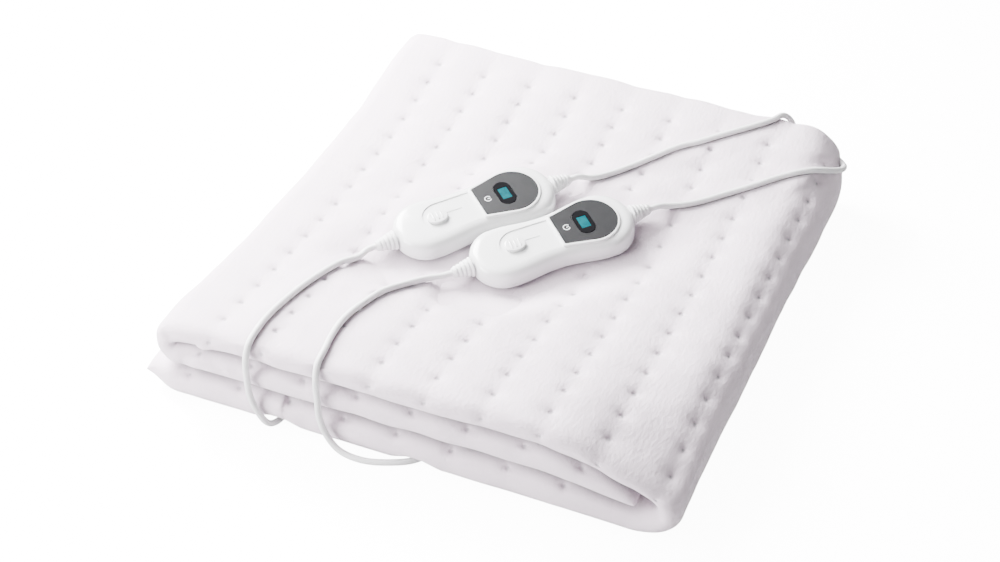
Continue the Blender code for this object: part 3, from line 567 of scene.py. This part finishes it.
def tail_route(letter):
    """From the coil's top turn over the lead below and down to the plug."""
    side = COIL_SIDE[letter]
    centre = coil_centre(letter)
    turn_radius = COIL_RADIUS + COIL_PITCH / 2
    axis_z = PLUG_THICK / 2
    back = HALF_DEPTH - back_shift(centre.x - side * 3 * turn_radius, HALF_DEPTH)
    axis_y = back + COIL_CLEAR + PLUG_WIDTH / 2
    bottom_y = centre.y - turn_radius
    shift = axis_y - bottom_y
    # each point's distance from the coil's middle, its share of the shift, and its height
    way = ((turn_radius, 0.08, 11.4 * MM), (turn_radius + 14 * MM, 0.45, 8.4 * MM),
           (PLUG_REACH - 12 * MM, 0.93, axis_z))
    route = [(centre.x - side * out, bottom_y + share * shift, height) for out, share, height in way]
    return route + [(centre.x - side * PLUG_REACH + side * FIT_GAP, axis_y, axis_z)]


def mains_route(letter):
    """From the control over the front edge, back under the blanket and into the coil."""
    channel = CHANNELS[letter]
    centre = coil_centre(letter)
    rest = CORD / 2
    route = relief_exit(letter, "mains") + on_top(MAINS_TOP[letter]) + in_metres(MAINS_FALL[letter])
    route += [(x * MM, y * MM, rest) for x, y in MAINS_UNDER[letter]]
    route += [(channel, y * MM, rest) for y in CHANNEL_YS]
    low_turn = COIL_BOTTOM + COIL_PITCH / 2
    route.append((channel, centre.y - 20 * MM, (rest + low_turn) / 2))
    return route + coil_route(letter) + tail_route(letter)


def lead_route(letter):
    """From the control over the back or the right edge and in between the layers."""
    return relief_exit(letter, "lead") + on_top(LEAD_TOP[letter]) + in_metres(LEAD_FALL[letter])


def make_cord(name, route, finish):
    line = smooth_line(route, LINE_SPACING)
    curve = bpy.data.curves.new(name + "_line", "CURVE")
    curve.dimensions = "3D"
    curve.bevel_depth = CORD / 2
    curve.bevel_resolution = 5
    curve.use_fill_caps = True
    spline = curve.splines.new("POLY")
    spline.points.add(len(line) - 1)
    for point, place in zip(spline.points, line):
        point.co = (*place, 1.0)
    spline.use_smooth = True
    curve.materials.append(finish)
    return link(bpy.data.objects.new(name, curve)), line


make_camera()
sleeve = plastic_material("cord_sleeve", (0.90, 0.895, 0.90), 0.5, 0.1 * MM)
cord_lines = {}
cords = {}
for letter in CONTROLS:
    for kind, route in (("mains", mains_route(letter)), ("lead", lead_route(letter))):
        name = f"{kind}_{letter}"
        cords[name], cord_lines[name] = make_cord(name + "_cord", route, sleeve)


# ================ blanket
COLUMN_OFFSETS = (0.0, 2.0, 4.5, 8.0, 13.0, 18.5, 24.3)  # mm each side of a dot, along the front
ROW_OFFSETS = (0.0, 2.0, 4.5, 8.5, 14.15)  # mm each side of a dot, front to back
DOT_COLUMNS = 8  # on each ply, and the fold's nose has one more
DOT_ROWS = 16
MIDDLE_COLUMN = 160 * MM  # the lower plies' own columns of dots on their front rolls
BOTTOM_COLUMN = 145 * MM
NOSE_DOT_ANGLE = 48
NOSE_STEPS = 60
TIP_STEPS = 20
ROLL_STEPS = 22
INNER_STEPS = 6
FOLD_STEPS = 10
END_SHARES = (0.0, 0.07, 0.2, 0.42, 0.7, 1.0)  # where a rounded end has its rows of points
END_THIN = 0.94
CHANNEL_SIDE = 8 * MM  # further rows of points each side of a channel
BEND_CAP = 24 * MM
NO_DOT = 20 * MM  # stands for no dot near
UPPER_TURN = -0.2  # cloth that faces down more than this belongs to the lower plies

# how the cloth's skin is shaped, in this file's own sizes
PRESSED_EDGE = (SEAT_CLEAR - 14 * MM, SEAT_CLEAR + 16 * MM)  # flat within, free beyond
LOWER_CLOTH = 45 * MM  # below this nothing presses it
UPPER_CLOTH = 40 * MM  # above this it has its loft and bears the cords
FLOOR_FADE = (2 * MM, 12 * MM)
UPRIGHT = (0.3, 0.8)  # the normal's height between which the dots' dishes grow to their depth
UPRIGHT_TROUGH = 0.15
UPRIGHT_DISH = 0.4
PRESSED_DEPTH = 0.4
BROAD_WAVE = (17.0, 1.5)  # cycles a metre, and height in mm
FINE_WAVE = (38.0, 0.8)
FINE_SHIFT = Vector((7, 3, 1))
CREASE_ENDS = (0.15, 0.7)
CRADLE = 25 * MM  # how far beside a cord the cloth is shaped by it
CORD_CLEAR = 0.15 * MM
CORD_HEIGHT = 30 * MM  # a cord lower than this isn't on the pile
RAISED = (3.5 * MM, 7.5 * MM)  # the cloth isn't raised to a cord that is this much higher
LOWERED = (3 * MM, 9 * MM)  # nor lowered to one that is this much lower

# where the cloth is drawn in or stands up along a line: from, to, depth, width, all in mm
CREASES = (
    ((-181, -246, 72), (-203, -246, 28), 4.2, 4.2),
    ((-170, -246, 70), (-186, -246, 46), -1.8, 5.0),
    ((-203, -250, 72), (-184, -246, 60), 3.2, 4.0),
    ((-214, -245, 78), (-200, -252, 62), 2.6, 3.6),
    ((-217, -248, 64), (-216, -232, 52), 2.4, 4.0),
    ((-168, -248, 60), (-157, -250, 44), 2.6, 4.5),
    ((-160, -248, 60), (-148, -250, 46), -1.5, 4.5),
    ((-147, -248, 60), (-140, -250, 44), 1.6, 5.0),
    ((-90, -252, 2), (-80, -250, 20), 3.4, 5.0),
    ((-68, -252, 3), (-60, -250, 14), 1.8, 5.0),
    ((96, -250, 58), (112, -250, 46), 1.4, 6.0),
    ((150, -248, 62), (178, -248, 54), 1.6, 6.0),
    ((218, -250, 44), (228, -242, 20), 1.8, 6.0),
    ((190, -250, 50), (214, -250, 40), 1.6, 6.0),
    ((-232, -250, 26), (-222, -252, 8), 1.3, 5.0),
)


def spread(places, offsets, low, high):
    """Lines at each place and at the offsets each side of it, within bounds, as (value, to dot)."""
    lines = {}
    for place in places:
        for offset in offsets:
            for side in (-1, 1):
                value = round(place + side * offset * MM, 7)
                if low <= value <= high:
                    lines[value] = min(lines.get(value, NO_DOT * 2), offset * MM)
    return sorted(lines.items())


def fold_stations():
    """The strip's middle line: x, z, normal x, normal z, fullness, distance to the dots' column."""
    low = PLY_HALF
    mid = 3 * PLY_HALF + PLY_GAP
    high = 5 * PLY_HALF + 2 * PLY_GAP
    nose_x = HALF_WIDTH - NOSE_REACH - PLY_HALF
    nose_rise = (high - low) / 2
    tip_radius = (high - mid) / 2
    tip_x = TIP_LEFT + PLY_HALF + tip_radius
    stations = []

    def run(lines, height, outward, free_end=None):
        for x, to_dot in lines:
            taper = 1.0
            if free_end is not None:
                taper = at_least(END_TAPER, smooth(0, TAPER_LENGTH, abs(x - free_end)))
                inside = 1 - min(abs(x - free_end) / END_ROUND, 1.0)
                taper *= sqrt(1 - END_THIN * inside * inside)
            stations.append((x, height, 0.0, outward, taper, to_dot))

    def bend(centre_x, centre_z, reach, rise, first, last, steps, dot_angle=None):
        for step in range(1, steps):
            angle = radians(first + (last - first) * step / steps)
            normal = Vector((cos(angle) / reach, sin(angle) / rise)).normalized()
            to_dot = NO_DOT
            if dot_angle is not None:
                to_dot = abs(angle - radians(dot_angle)) * (reach + PLY_HALF)
            stations.append((centre_x + reach * cos(angle), centre_z + rise * sin(angle),
                             normal.x, normal.y, 1.0, min(to_dot, BEND_CAP)))

    def columns(first, low_x, high_x):
        places = [first - DOT_PITCH_X * step for step in range(DOT_COLUMNS)]
        return spread(places, COLUMN_OFFSETS, low_x, high_x)

    rounds = [END_ROUND * share for share in END_SHARES]
    nose, tip = [(nose_x, NO_DOT)], [(tip_x, NO_DOT)]
    left = [(-HALF_WIDTH + inward, NO_DOT) for inward in rounds]
    bottom = columns(BOTTOM_COLUMN, -HALF_WIDTH + END_ROUND + MM, nose_x - MM)
    bottom += [(channel + side * CHANNEL_SIDE + 0.3 * MM, NO_DOT)
               for channel in CHANNELS.values() for side in (-1, 0, 1)]
    run(left + sorted(bottom) + nose, low, -1.0, -HALF_WIDTH)
    bend(nose_x, (low + high) / 2, NOSE_REACH, nose_rise, -90, 90, NOSE_STEPS, NOSE_DOT_ANGLE)
    top = columns(DOT_COLUMN_8, tip_x + MM, nose_x - 0.5 * MM)
    run(nose + top[::-1] + tip, high, 1.0)
    bend(tip_x, (high + mid) / 2, tip_radius, tip_radius, 90, 270, TIP_STEPS)
    middle = columns(MIDDLE_COLUMN, tip_x + MM, MIDDLE_END - END_ROUND - MM)
    right = [(MIDDLE_END - inward, NO_DOT) for inward in reversed(rounds)]
    run(tip + middle + right, mid, -1.0, MIDDLE_END)
    return stations


def strip_section():
    """The strip's closed section: y, offset from the middle, distance to the dots' row, outer or not.

    The row's distance is given for the top ply and for the two plies below it."""
    roll_y = -HALF_DEPTH + ROLL_REACH
    back_y = HALF_DEPTH - BACK_REACH
    half = SHEET / 2

    def plain(y, offset, outer=False):
        loop.append((y, offset, NO_DOT, NO_DOT, outer))

    def layer(rows_y, offset, outer=False):
        for y in rows_y:
            plain(y, offset, outer)

    def half_turn(steps, backward=False):
        """The angles of a fold's own points, without its two ends."""
        for step in range(1, steps):
            turn = 180 * step / steps
            yield radians(180 - turn if backward else turn)

    rows = spread([DOT_ROW_0 + DOT_PITCH_Y * row for row in range(DOT_ROWS)], ROW_OFFSETS,
                  roll_y + MM, back_y - MM)
    loop = []
    plain(back_y, PLY_HALF, True)
    loop += [(y, PLY_HALF, to_dot, NO_DOT, True) for y, to_dot in reversed(rows)]
    plain(roll_y, PLY_HALF, True)
    reach = (ROLL_REACH + PLY_HALF) / 2
    for angle in half_turn(ROLL_STEPS):
        upper = abs(angle - radians(FRONT_DOT_ANGLE)) * reach
        lower = abs(angle - radians(180 - LOWER_DOT_ANGLE)) * reach
        loop.append((roll_y - ROLL_REACH * sin(angle), PLY_HALF * cos(angle),
                     min(upper, NO_DOT), min(lower, NO_DOT), True))
    free_back = back_y + BACK_REACH - HEM_SETBACK
    shares = [step / 16 for step in range(17)]
    free = [roll_y + (free_back - roll_y) * share for share in shares]
    hidden = [roll_y + (back_y - roll_y) * share for share in shares[::2]]
    layer(free, -PLY_HALF, True)
    for angle in half_turn(INNER_STEPS):
        plain(free_back + half * 0.8 * sin(angle), -LAYER_STEP - half * cos(angle))
    layer(reversed(free[::2]), -PLY_HALF + SHEET)
    for angle in half_turn(INNER_STEPS, backward=True):
        plain(roll_y - (ROLL_REACH - SHEET) * sin(angle), (PLY_HALF - SHEET) * cos(angle))
    layer(hidden, PLY_HALF - SHEET)
    plain(back_y + LAYER_GAP / 2, LAYER_STEP / 2)
    middle = [max(y, roll_y + 3 * MM) for y in hidden]
    layer(reversed(middle), half)
    plain(roll_y + MM, 0)
    layer(middle, -half)
    for angle in half_turn(FOLD_STEPS, backward=True):
        plain(back_y + BACK_REACH * sin(angle),
              LAYER_STEP / 2 + (LAYER_STEP / 2 + half) * cos(angle), True)
    return loop


def strip_length(stations):
    """How wide the opened sheet is, along its folded middle line."""
    return sum(hypot(b[0] - a[0], b[1] - a[1]) for a, b in zip(stations, stations[1:]))


def make_blanket(finish):
    section = strip_section()
    stations = fold_stations()
    rings = []
    sheet_place = []
    for x, z, normal_x, normal_z, fullness, to_column in stations:
        reaches = [(y, offset * fullness) for y, offset, *_ in section]
        rings.append([settle(x + normal_x * reach, y, z + normal_z * reach) for y, reach in reaches])
        for *_, upper_row, lower_row, outer in section:
            to_row = upper_row if normal_z > UPPER_TURN else lower_row
            sheet_place.append((to_column, to_row, 1.0 if outer else 0.0))
    bm = close_rings(rings)
    bmesh.ops.recalc_face_normals(bm, faces=bm.faces)
    bmesh.ops.triangulate(bm, faces=[face for face in bm.faces if len(face.verts) > 4])
    made = add_mesh("blanket_cloth", bm, finish)
    made.data.shade_smooth()
    normals = [Vector(vertex.normal) for vertex in made.data.vertices]
    tree = cord_tree()
    for vertex, normal, marks in zip(made.data.vertices, normals, sheet_place):
        vertex.co = shape_cloth(vertex.co.copy(), normal, marks, tree)
    carried = made.data.attributes.new("sheet_place", "FLOAT_VECTOR", "POINT")
    carried.data.foreach_set("vector", np.array(sheet_place, dtype=np.float32).ravel())
    return made, (strip_length(stations), flat_depth())


def flat_depth():
    """How deep the opened sheet is: three layers, the front roll and the back fold."""
    straight = 2 * HALF_DEPTH - ROLL_REACH - BACK_REACH
    roll = pi * (ROLL_REACH + PLY_HALF - SHEET) / 2
    fold = pi * (BACK_REACH + LAYER_STEP / 2) / 2
    return 3 * straight + roll + fold


def cord_tree():
    """The cords' own lines on the pile, to shape the cloth under them."""
    points = [point for line in cord_lines.values() for point in line
              if point.z > CORD_HEIGHT and -HALF_DEPTH < point.y < HALF_DEPTH]
    tree = kdtree.KDTree(len(points))
    for index, point in enumerate(points):
        tree.insert((point.x, point.y, 0.0), index)
    tree.balance()
    return tree, points


def crease_depth(place):
    """How far all creases draw the cloth in at a place, each fading beside it and at both ends."""
    first, span = CREASE_ENDS
    total = 0.0
    for start, end, depth, width in CREASES:
        start = Vector(start) * MM
        end = Vector(end) * MM
        run = end - start
        share = min(max((place - start).dot(run) / run.dot(run), 0.0), 1.0)
        away = (place - start - run * share).length / (width * MM)
        if away < 3:
            total += depth * MM * exp(-away * away) * sin(pi * (first + span * share))
    return total


def shape_cloth(place, normal, marks, tree):
    """Dots, unevenness and creases, on the skin that shows; pressed flat under what lies on it."""
    to_column, to_row, outer = marks
    if not outer:
        return place
    far = hypot(to_column, to_row)
    level = at_least(UPRIGHT_TROUGH, smooth(*UPRIGHT, normal.z))
    depth = DOT_PIT[0] * bell(far, DOT_PIT[1])
    depth += DOT_DISH[0] * bell(far, DOT_DISH[1]) * at_least(UPRIGHT_DISH, level)
    depth += COLUMN_DISH[0] * bell(to_column, COLUMN_DISH[1]) * level
    free = smooth(*PRESSED_EDGE, seat_distance(place.x, place.y))
    free = 1.0 if place.z < LOWER_CLOTH else free
    wave = noise.noise(place * BROAD_WAVE[0]) * BROAD_WAVE[1]
    wave += noise.noise(place * FINE_WAVE[0] + FINE_SHIFT) * FINE_WAVE[1]
    swell = (wave * MM - crease_depth(place)) * free * smooth(*FLOOR_FADE, place.z)
    if place.z > UPPER_CLOTH:
        swell += LOFT * free * max(normal.z, 0.0)
    moved = place + normal * (swell - depth * at_least(PRESSED_DEPTH, free))
    if normal.z > 0.1 and place.z > UPPER_CLOTH:
        moved.z = under_cords(moved, tree)
    moved.z = max(moved.z, 0.0)
    return moved


def under_cords(place, tree):
    """The cloth's height where a cord lies on it, and evenly back to its own height beside that."""
    cords_near, points = tree
    _, index, away = cords_near.find((place.x, place.y, 0.0))
    reach = 1 - smooth(CORD / 2, CRADLE, away)
    rest = points[index].z - CORD / 2 - CORD_CLEAR
    reach *= 1 - smooth(*RAISED, rest - place.z)
    reach *= 1 - smooth(*LOWERED, place.z - rest)
    return place.z + (rest - place.z) * reach


blanket, flat_size = make_blanket(cloth_material())


# ================ hand controls
ARC_STEPS = 48
SIDE_STEPS = 24
CASE_TOP = 20 * MM
WAIST_HALF = 24.5 * MM
LOBE_LEAN = 8.0  # degrees by which each lobe's arc stops short of a half circle at both its ends
# height and inset of each ring, in mm
LOWER_RINGS = ((0.0, 4.2), (0.25, 3.1), (0.7, 2.1), (1.4, 1.25), (2.3, 0.6), (3.4, 0.2), (4.8, 0.04),
               (6.0, 0.0))
UPPER_RINGS = ((6.3, 0.0), (9.0, 0.03), (11.5, 0.14), (13.6, 0.52), (15.4, 1.2), (16.8, 2.05),
               (17.9, 3.1), (18.8, 4.5), (19.4, 6.1), (19.8, 7.8), (20.0, 9.6))
PANEL_START = 4 * MM
PANEL_END = 60 * MM
PANEL_FLAT_HALF = 17.5 * MM
PANEL_RADIUS = 24 * MM
PANEL_CORNER = 1.6 * MM
PANEL_DEPTH = 1.3 * MM
PLATEAU_RIM = 2.6 * MM
PLATEAU_RISE = 1.6 * MM
WINDOW_CENTRE = 29.5 * MM
WINDOW_SIZE = (15.5 * MM, 28 * MM)
DISPLAY_SIZE = (8.5 * MM, 13.5 * MM)
GLASS_RISE = 0.3 * MM
TRACK_CENTRE = -32.5 * MM
TRACK_RADIUS = 17 * MM
TRACK_DEPTH = 0.8 * MM
TRACK_END = PANEL_START - PLATEAU_RIM - 0.4 * MM
SLOT = ((-25.5 * MM, 1.6 * MM), (-11.5 * MM, 2.8 * MM))
SLIDER_PLACE = -36 * MM
SLIDER_SIZE = (19 * MM, 16 * MM, 2.8 * MM)
RIB_COUNT = 3
RIB_STEP = 4 * MM
RIB_SIZE = (1.5 * MM, 9 * MM, 0.7 * MM)
RELIEF_START = 9 * MM
RELIEF_TIP = 4.4 * MM
RELIEF_RINGS = 5
RELIEF_GROOVE = 1.1 * MM
TURN_SIDES = 40
SYMBOL_PLACE = 13 * MM
SYMBOL_RADIUS = 2.9 * MM
SYMBOL_LINE = 0.36 * MM
SYMBOL_GAP = 30  # degrees from the ring's middle line to each side of its gap
SYMBOL_HAND = (-0.2 * MM, 2.3 * MM)


def case_outline(inset):
    """The two round lobes and the drawn-in sides between them, set in from the widest line."""
    slider_x, slider_r = SLIDER_LOBE
    display_x, display_r = DISPLAY_LOBE
    lean = LOBE_LEAN

    def side_half(along):
        share = (along - slider_x) / (display_x - slider_x)
        straight = slider_r + (display_r - slider_r) * share
        waist = (slider_r + display_r) / 2 - WAIST_HALF
        return straight - waist * sin(pi * share) ** 2 - inset

    outline = list(arc(display_x, display_r - inset, lean - 90, 90 - lean, ARC_STEPS))
    span = display_x - slider_x
    sides = [display_x - span * (step + 0.5) / SIDE_STEPS for step in range(1, SIDE_STEPS - 1)]
    outline += [(along, side_half(along)) for along in sides]
    outline += list(arc(slider_x, slider_r - inset, 90 + lean, 270 - lean, ARC_STEPS))
    outline += [(along, -side_half(along)) for along in reversed(sides)]
    return outline


def case_shell(name, rings, finish):
    return add_mesh(name, close_rings([[(x, y * CASE_WIDEN, height * MM)
                                        for x, y in case_outline(inset * MM)]
                                       for height, inset in rings]), finish)


def flat_plate(name, outline, bottom, top, finish, bevel=0.0, bevel_steps=3):
    """A flat outline given a thickness, with rounded upper and lower edges if asked."""
    bm = close_rings([[(x, y, height) for x, y in outline] for height in (bottom, top)])
    bmesh.ops.recalc_face_normals(bm, faces=bm.faces)
    if bevel:
        rims = [edge for edge in bm.edges if abs(edge.verts[0].co.z - edge.verts[1].co.z) < 1e-6]
        bmesh.ops.bevel(bm, geom=rims, offset=bevel, segments=bevel_steps, profile=0.5, affect="EDGES")
    return add_mesh(name, bm, finish)


def combine(piece, tool, operation):
    """The tool added to the piece or taken from it, and then removed itself."""
    step = piece.modifiers.new(operation.lower(), "BOOLEAN")
    step.operation = operation
    step.object = tool
    step.solver = "EXACT"
    bpy.context.view_layer.update()
    graph = bpy.context.evaluated_depsgraph_get()
    made = bpy.data.meshes.new_from_object(piece.evaluated_get(graph))
    piece.modifiers.clear()
    old = piece.data
    piece.data = made
    bpy.data.meshes.remove(old)
    bpy.data.objects.remove(tool, do_unlink=True)


def cut(piece, outline, bottom, top):
    combine(piece, flat_plate("tool", outline, bottom, top, None), "DIFFERENCE")


def shade_by_angle(piece, limit):
    """Round faces shaded smoothly, edges sharper than the limit in degrees left sharp."""
    piece.data.shade_smooth()
    bm = bmesh.new()
    bm.from_mesh(piece.data)
    for edge in bm.edges:
        if len(edge.link_faces) == 2 and edge.calc_face_angle(0) > radians(limit):
            edge.smooth = False
    bm.to_mesh(piece.data)
    bm.free()


def panel_outline(margin):
    """The display panel: one straight side with rounded corners, and a round end."""
    centre = PANEL_END - PANEL_RADIUS
    reach = centre - PANEL_START
    lean = degrees(atan2(PANEL_RADIUS - PANEL_FLAT_HALF, reach))
    outline = list(arc(centre, PANEL_RADIUS + margin, -90 - lean, 90 + lean, 44))
    half = PANEL_FLAT_HALF + margin
    start = PANEL_START - margin
    corner = PANEL_CORNER + margin / 2
    for side, first in ((1, 90), (-1, 180)):
        middle = side * (half - corner)
        outline += [(x, middle + y) for x, y in arc(start + corner, corner, first, first + 90, 6)]
    return outline


def rectangle(low, high):
    return [(low[0], low[1]), (high[0], low[1]), (high[0], high[1]), (low[0], high[1])]


def oblong(centre_x, size_x, size_y, margin=0.0):
    """A lying rectangle with two round ends, which face the sides."""
    radius = size_x / 2 + margin
    half = size_y / 2 - size_x / 2
    upper = [(x, y + half) for x, y in arc(centre_x, radius, 0, 180, 24)]
    return upper + [(x, y - half) for x, y in arc(centre_x, radius, 180, 360, 24)]


def track_outline():
    outline = list(arc(TRACK_CENTRE, TRACK_RADIUS, 90, 270, 36))
    return outline + [(TRACK_END, -TRACK_RADIUS), (TRACK_END, TRACK_RADIUS)]


def relief_profile():
    """A ribbed cone from the case to the cord, as (along, radius), each ring's edges rounded."""
    profile = [(0.0, 0.0), (0.0, RELIEF_START - 0.4 * MM), (0.4 * MM, RELIEF_START)]
    step = RELIEF_LENGTH / RELIEF_RINGS
    for ring in range(RELIEF_RINGS):
        share = (ring + 0.5) / RELIEF_RINGS
        radius = RELIEF_START + (RELIEF_TIP - RELIEF_START) * share
        profile += [(step * (ring + 0.5), radius + 0.1 * MM),
                    (step * (ring + 0.58), radius - 0.15 * MM)]
        if ring < RELIEF_RINGS - 1:
            groove = radius - RELIEF_GROOVE
            profile += [(step * (ring + 0.64), groove), (step * (ring + 0.94), groove),
                        (step * (ring + 1.0), radius - 0.65 * MM),
                        (step * (ring + 1.08), radius - 0.4 * MM)]
    profile += [(RELIEF_LENGTH, RELIEF_TIP - 0.3 * MM), (RELIEF_LENGTH, 0.0)]
    return profile


def turned(name, profile, finish):
    """A profile of (along, radius) turned about X."""
    rings = []
    for along, radius in profile:
        ring = arc(0, radius, 0, 360 - 360 / TURN_SIDES, TURN_SIDES - 1) if radius else [(0, 0)]
        rings.append([(along, y, z) for y, z in ring])
    bm = close_rings(rings)
    bmesh.ops.recalc_face_normals(bm, faces=bm.faces)
    piece = add_mesh(name, bm, finish)
    shade_by_angle(piece, 50)
    return piece


def box(name, low, high, finish, bevel=0.0):
    return flat_plate(name, rectangle(low, high), low[2], high[2], finish, bevel, 2)


def make_slider(name, finish):
    """The slide button with its ribs, which stand on its top and reach into it."""
    length, width, height = SLIDER_SIZE
    outline = [(x, y) for y, x in oblong(0.0, width, length)]
    button = flat_plate(name, outline, 0.0, height, finish, bevel=1.2 * MM, bevel_steps=5)
    for index in range(RIB_COUNT):
        along = (index - (RIB_COUNT - 1) / 2) * RIB_STEP
        low = (along - RIB_SIZE[0] / 2, -RIB_SIZE[1] / 2, height - MM)
        high = (along + RIB_SIZE[0] / 2, RIB_SIZE[1] / 2, height + RIB_SIZE[2])
        combine(button, box("rib", low, high, finish, bevel=0.45 * MM), "UNION")
    shade_by_angle(button, 40)
    return button


def make_control(letter, finishes):
    """The visible pieces of one hand control, each with the solid it stands for."""
    prefix = f"control_{letter}_"
    case, grey, black, mark = finishes
    top = CASE_TOP + PLATEAU_RISE
    bottom = top - PANEL_DEPTH
    lower = case_shell(prefix + "lower_shell", LOWER_RINGS, case)
    shade_by_angle(lower, 40)
    upper = case_shell(prefix + "upper_shell", UPPER_RINGS, case)
    combine(upper, flat_plate("plateau", panel_outline(PLATEAU_RIM), CASE_TOP - 2 * MM, top, None,
                              bevel=1.3 * MM, bevel_steps=4), "UNION")
    track_floor = CASE_TOP - TRACK_DEPTH
    cut(upper, panel_outline(FIT_GAP), bottom - FIT_GAP, top + 3 * MM)
    cut(upper, track_outline(), track_floor, CASE_TOP + MM)
    cut(upper, rectangle(*SLOT), track_floor - MM, CASE_TOP)
    shade_by_angle(upper, 28)
    panel = flat_plate(prefix + "panel_face", panel_outline(0.0), bottom, top, grey)
    cut(panel, oblong(WINDOW_CENTRE, *WINDOW_SIZE, FIT_GAP), bottom - MM, top + MM)
    shade_by_angle(panel, 30)
    window = flat_plate(prefix + "window_glass", oblong(WINDOW_CENTRE, *WINDOW_SIZE), bottom,
                        top + GLASS_RISE, black)
    half_x, half_y = DISPLAY_SIZE[0] / 2 + FIT_GAP, DISPLAY_SIZE[1] / 2 + FIT_GAP
    cut(window, rectangle((WINDOW_CENTRE - half_x, -half_y), (WINDOW_CENTRE + half_x, half_y)),
        bottom + 0.5 * MM, top + 2 * MM)
    shade_by_angle(window, 30)
    sunk, proud = top - 0.05 * MM, top + 0.06 * MM  # the mark's underside and top
    ring = [*arc(SYMBOL_PLACE, SYMBOL_RADIUS + SYMBOL_LINE, SYMBOL_GAP, 360 - SYMBOL_GAP, 40),
            *arc(SYMBOL_PLACE, SYMBOL_RADIUS - SYMBOL_LINE, 360 - SYMBOL_GAP, SYMBOL_GAP, 40)]
    symbol = flat_plate(prefix + "mark_ring", ring, sunk, proud, mark)
    hand = box(prefix + "mark_hand", (SYMBOL_PLACE + SYMBOL_HAND[0], -SYMBOL_LINE, sunk),
               (SYMBOL_PLACE + SYMBOL_HAND[1], SYMBOL_LINE, proud), mark)
    made = {lower: ["lower_case"], upper: ["upper_case"], panel: ["panel"], window: ["window"],
            symbol: [], hand: []}
    ends = (("mains", SLIDER_LOBE[0] - SLIDER_LOBE[1] - FIT_GAP, pi),
            ("lead", DISPLAY_LOBE[0] + DISPLAY_LOBE[1] + FIT_GAP, 0.0))
    for end, along, turn in ends:
        relief = turned(f"{prefix}{end}_cone", relief_profile(), sleeve)
        moved = Matrix.Translation((along, 0.0, AXIS_HEIGHT)) @ Matrix.Rotation(turn, 4, "Z")
        relief.data.transform(moved)
        made[relief] = [end + "_relief"]
    slider = make_slider(prefix + "slide_button", case)
    slider.data.transform(Matrix.Translation((SLIDER_PLACE, 0.0, track_floor + FIT_GAP)))
    made[slider] = ["slider"]
    carrier = control_frame(*CONTROLS[letter])
    for piece, nodes in made.items():
        piece.data.transform(carrier)
        body = f"slider_{letter}" if piece is slider else BODY
        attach(piece, body)
        if nodes:
            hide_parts(*[prefix + node for node in nodes])


control_finishes = (
    plastic_material("case_plastic", (0.90, 0.90, 0.905), 0.20, 0.04 * MM,
                     Coat_Weight=0.35, Coat_Roughness=0.06),
    plastic_material("panel_grey", (0.014, 0.014, 0.0155), 0.42, Specular_IOR_Level=0.3),
    plastic_material("window_black", (0.006, 0.006, 0.007), 0.06, 0.01 * MM),
    plastic_material("mark_white", (0.80, 0.81, 0.82), 0.5),
)
for letter in CONTROLS:
    make_control(letter, control_finishes)


# ================ finishes, riding, and hiding the solids shown otherwise
def refinish(node, finish):
    """A solid that is shown as it is, given its finish."""
    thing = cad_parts[node]
    for holder in thing.material_slots:
        holder.material = finish
    if not thing.material_slots:
        thing.data.materials.append(finish)


display_lit = display_material()
tie_black = plastic_material("tie_black", (0.03, 0.03, 0.032), 0.6, 0.2 * MM)
brass = metal_material()
for letter in CONTROLS:
    refinish(f"control_{letter}_display", display_lit)
    refinish(f"tie_{letter}", tie_black)
    refinish(f"plug_{letter}", sleeve)
    for pin in (1, 2):
        refinish(f"plug_{letter}_pin_{pin}", brass)

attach(blanket, BODY)
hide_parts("blanket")
for name, cord in cords.items():
    kind, letter = name.split("_")
    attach(cord, BODY)
    nodes = [name]
    if kind == "mains":
        nodes += [f"coil_{letter}", name + "_tail"]
    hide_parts(*nodes)
    leaving = relief_exit(letter, kind)[0]


# ================ floor and light
FLOOR_HALF = 6.0
FLOOR_DROP = 0.5 * MM
FLOOR_GLOW = 12.0  # lifts the floor itself to white, without lighting the object
WORLD_STRENGTH = 0.27
# each light's name, place, aim, size and power
LIGHTS = (
    ("key", (-0.76, 0.32, 0.72), (-0.08, 0.0, 0.05), (0.6, 0.6), 96),
    ("overhead", (-0.80, -0.25, 1.6), (-0.05, 0, 0.05), (1.3, 1.3), 38),
    ("front", (-0.80, -0.95, 0.50), (-0.12, -0.24, 0.04), (0.6, 0.5), 37),
)


def make_floor():
    bm = bmesh.new()
    bmesh.ops.create_grid(bm, x_segments=2, y_segments=2, size=FLOOR_HALF)
    made = Nodes("floor_white")
    shade = made.ramp(made.mottle(3, 2), (0.3, (0.80, 0.80, 0.805)), (0.7, (0.82, 0.82, 0.82)))
    made.feed(made.shader, Base_Color=shade, Roughness=0.9)
    plain = made.shader.outputs[0]
    lit = made.add("ShaderNodeEmission", Strength=FLOOR_GLOW).outputs[0]
    both = made.fill(made.add("ShaderNodeAddShader"), plain, lit)
    seen = made.add("ShaderNodeLightPath").outputs["Is Camera Ray"]
    mixed = made.fill(made.add("ShaderNodeMixShader"), seen, plain, both)
    made.feed(made.tree.nodes["Material Output"], Surface=mixed)
    floor = add_mesh("floor", bm, made.material)
    floor.location.z = -FLOOR_DROP


def make_light(name, place, aim, size, power):
    data = bpy.data.lights.new(name, "AREA")
    data.shape = "RECTANGLE"
    data.size, data.size_y = size
    data.energy = power
    light = link(bpy.data.objects.new(name, data))
    light.location = place
    light.rotation_euler = (Vector(aim) - Vector(place)).to_track_quat("-Z", "Y").to_euler()


def make_world():
    world = bpy.data.worlds.new("studio")
    world.use_nodes = True
    back = world.node_tree.nodes["Background"]
    back.inputs["Color"].default_value = (0.98, 0.985, 1.0, 1)
    back.inputs["Strength"].default_value = WORLD_STRENGTH
    bpy.context.scene.world = world


make_floor()
make_world()
for light in LIGHTS:
    make_light(*light)
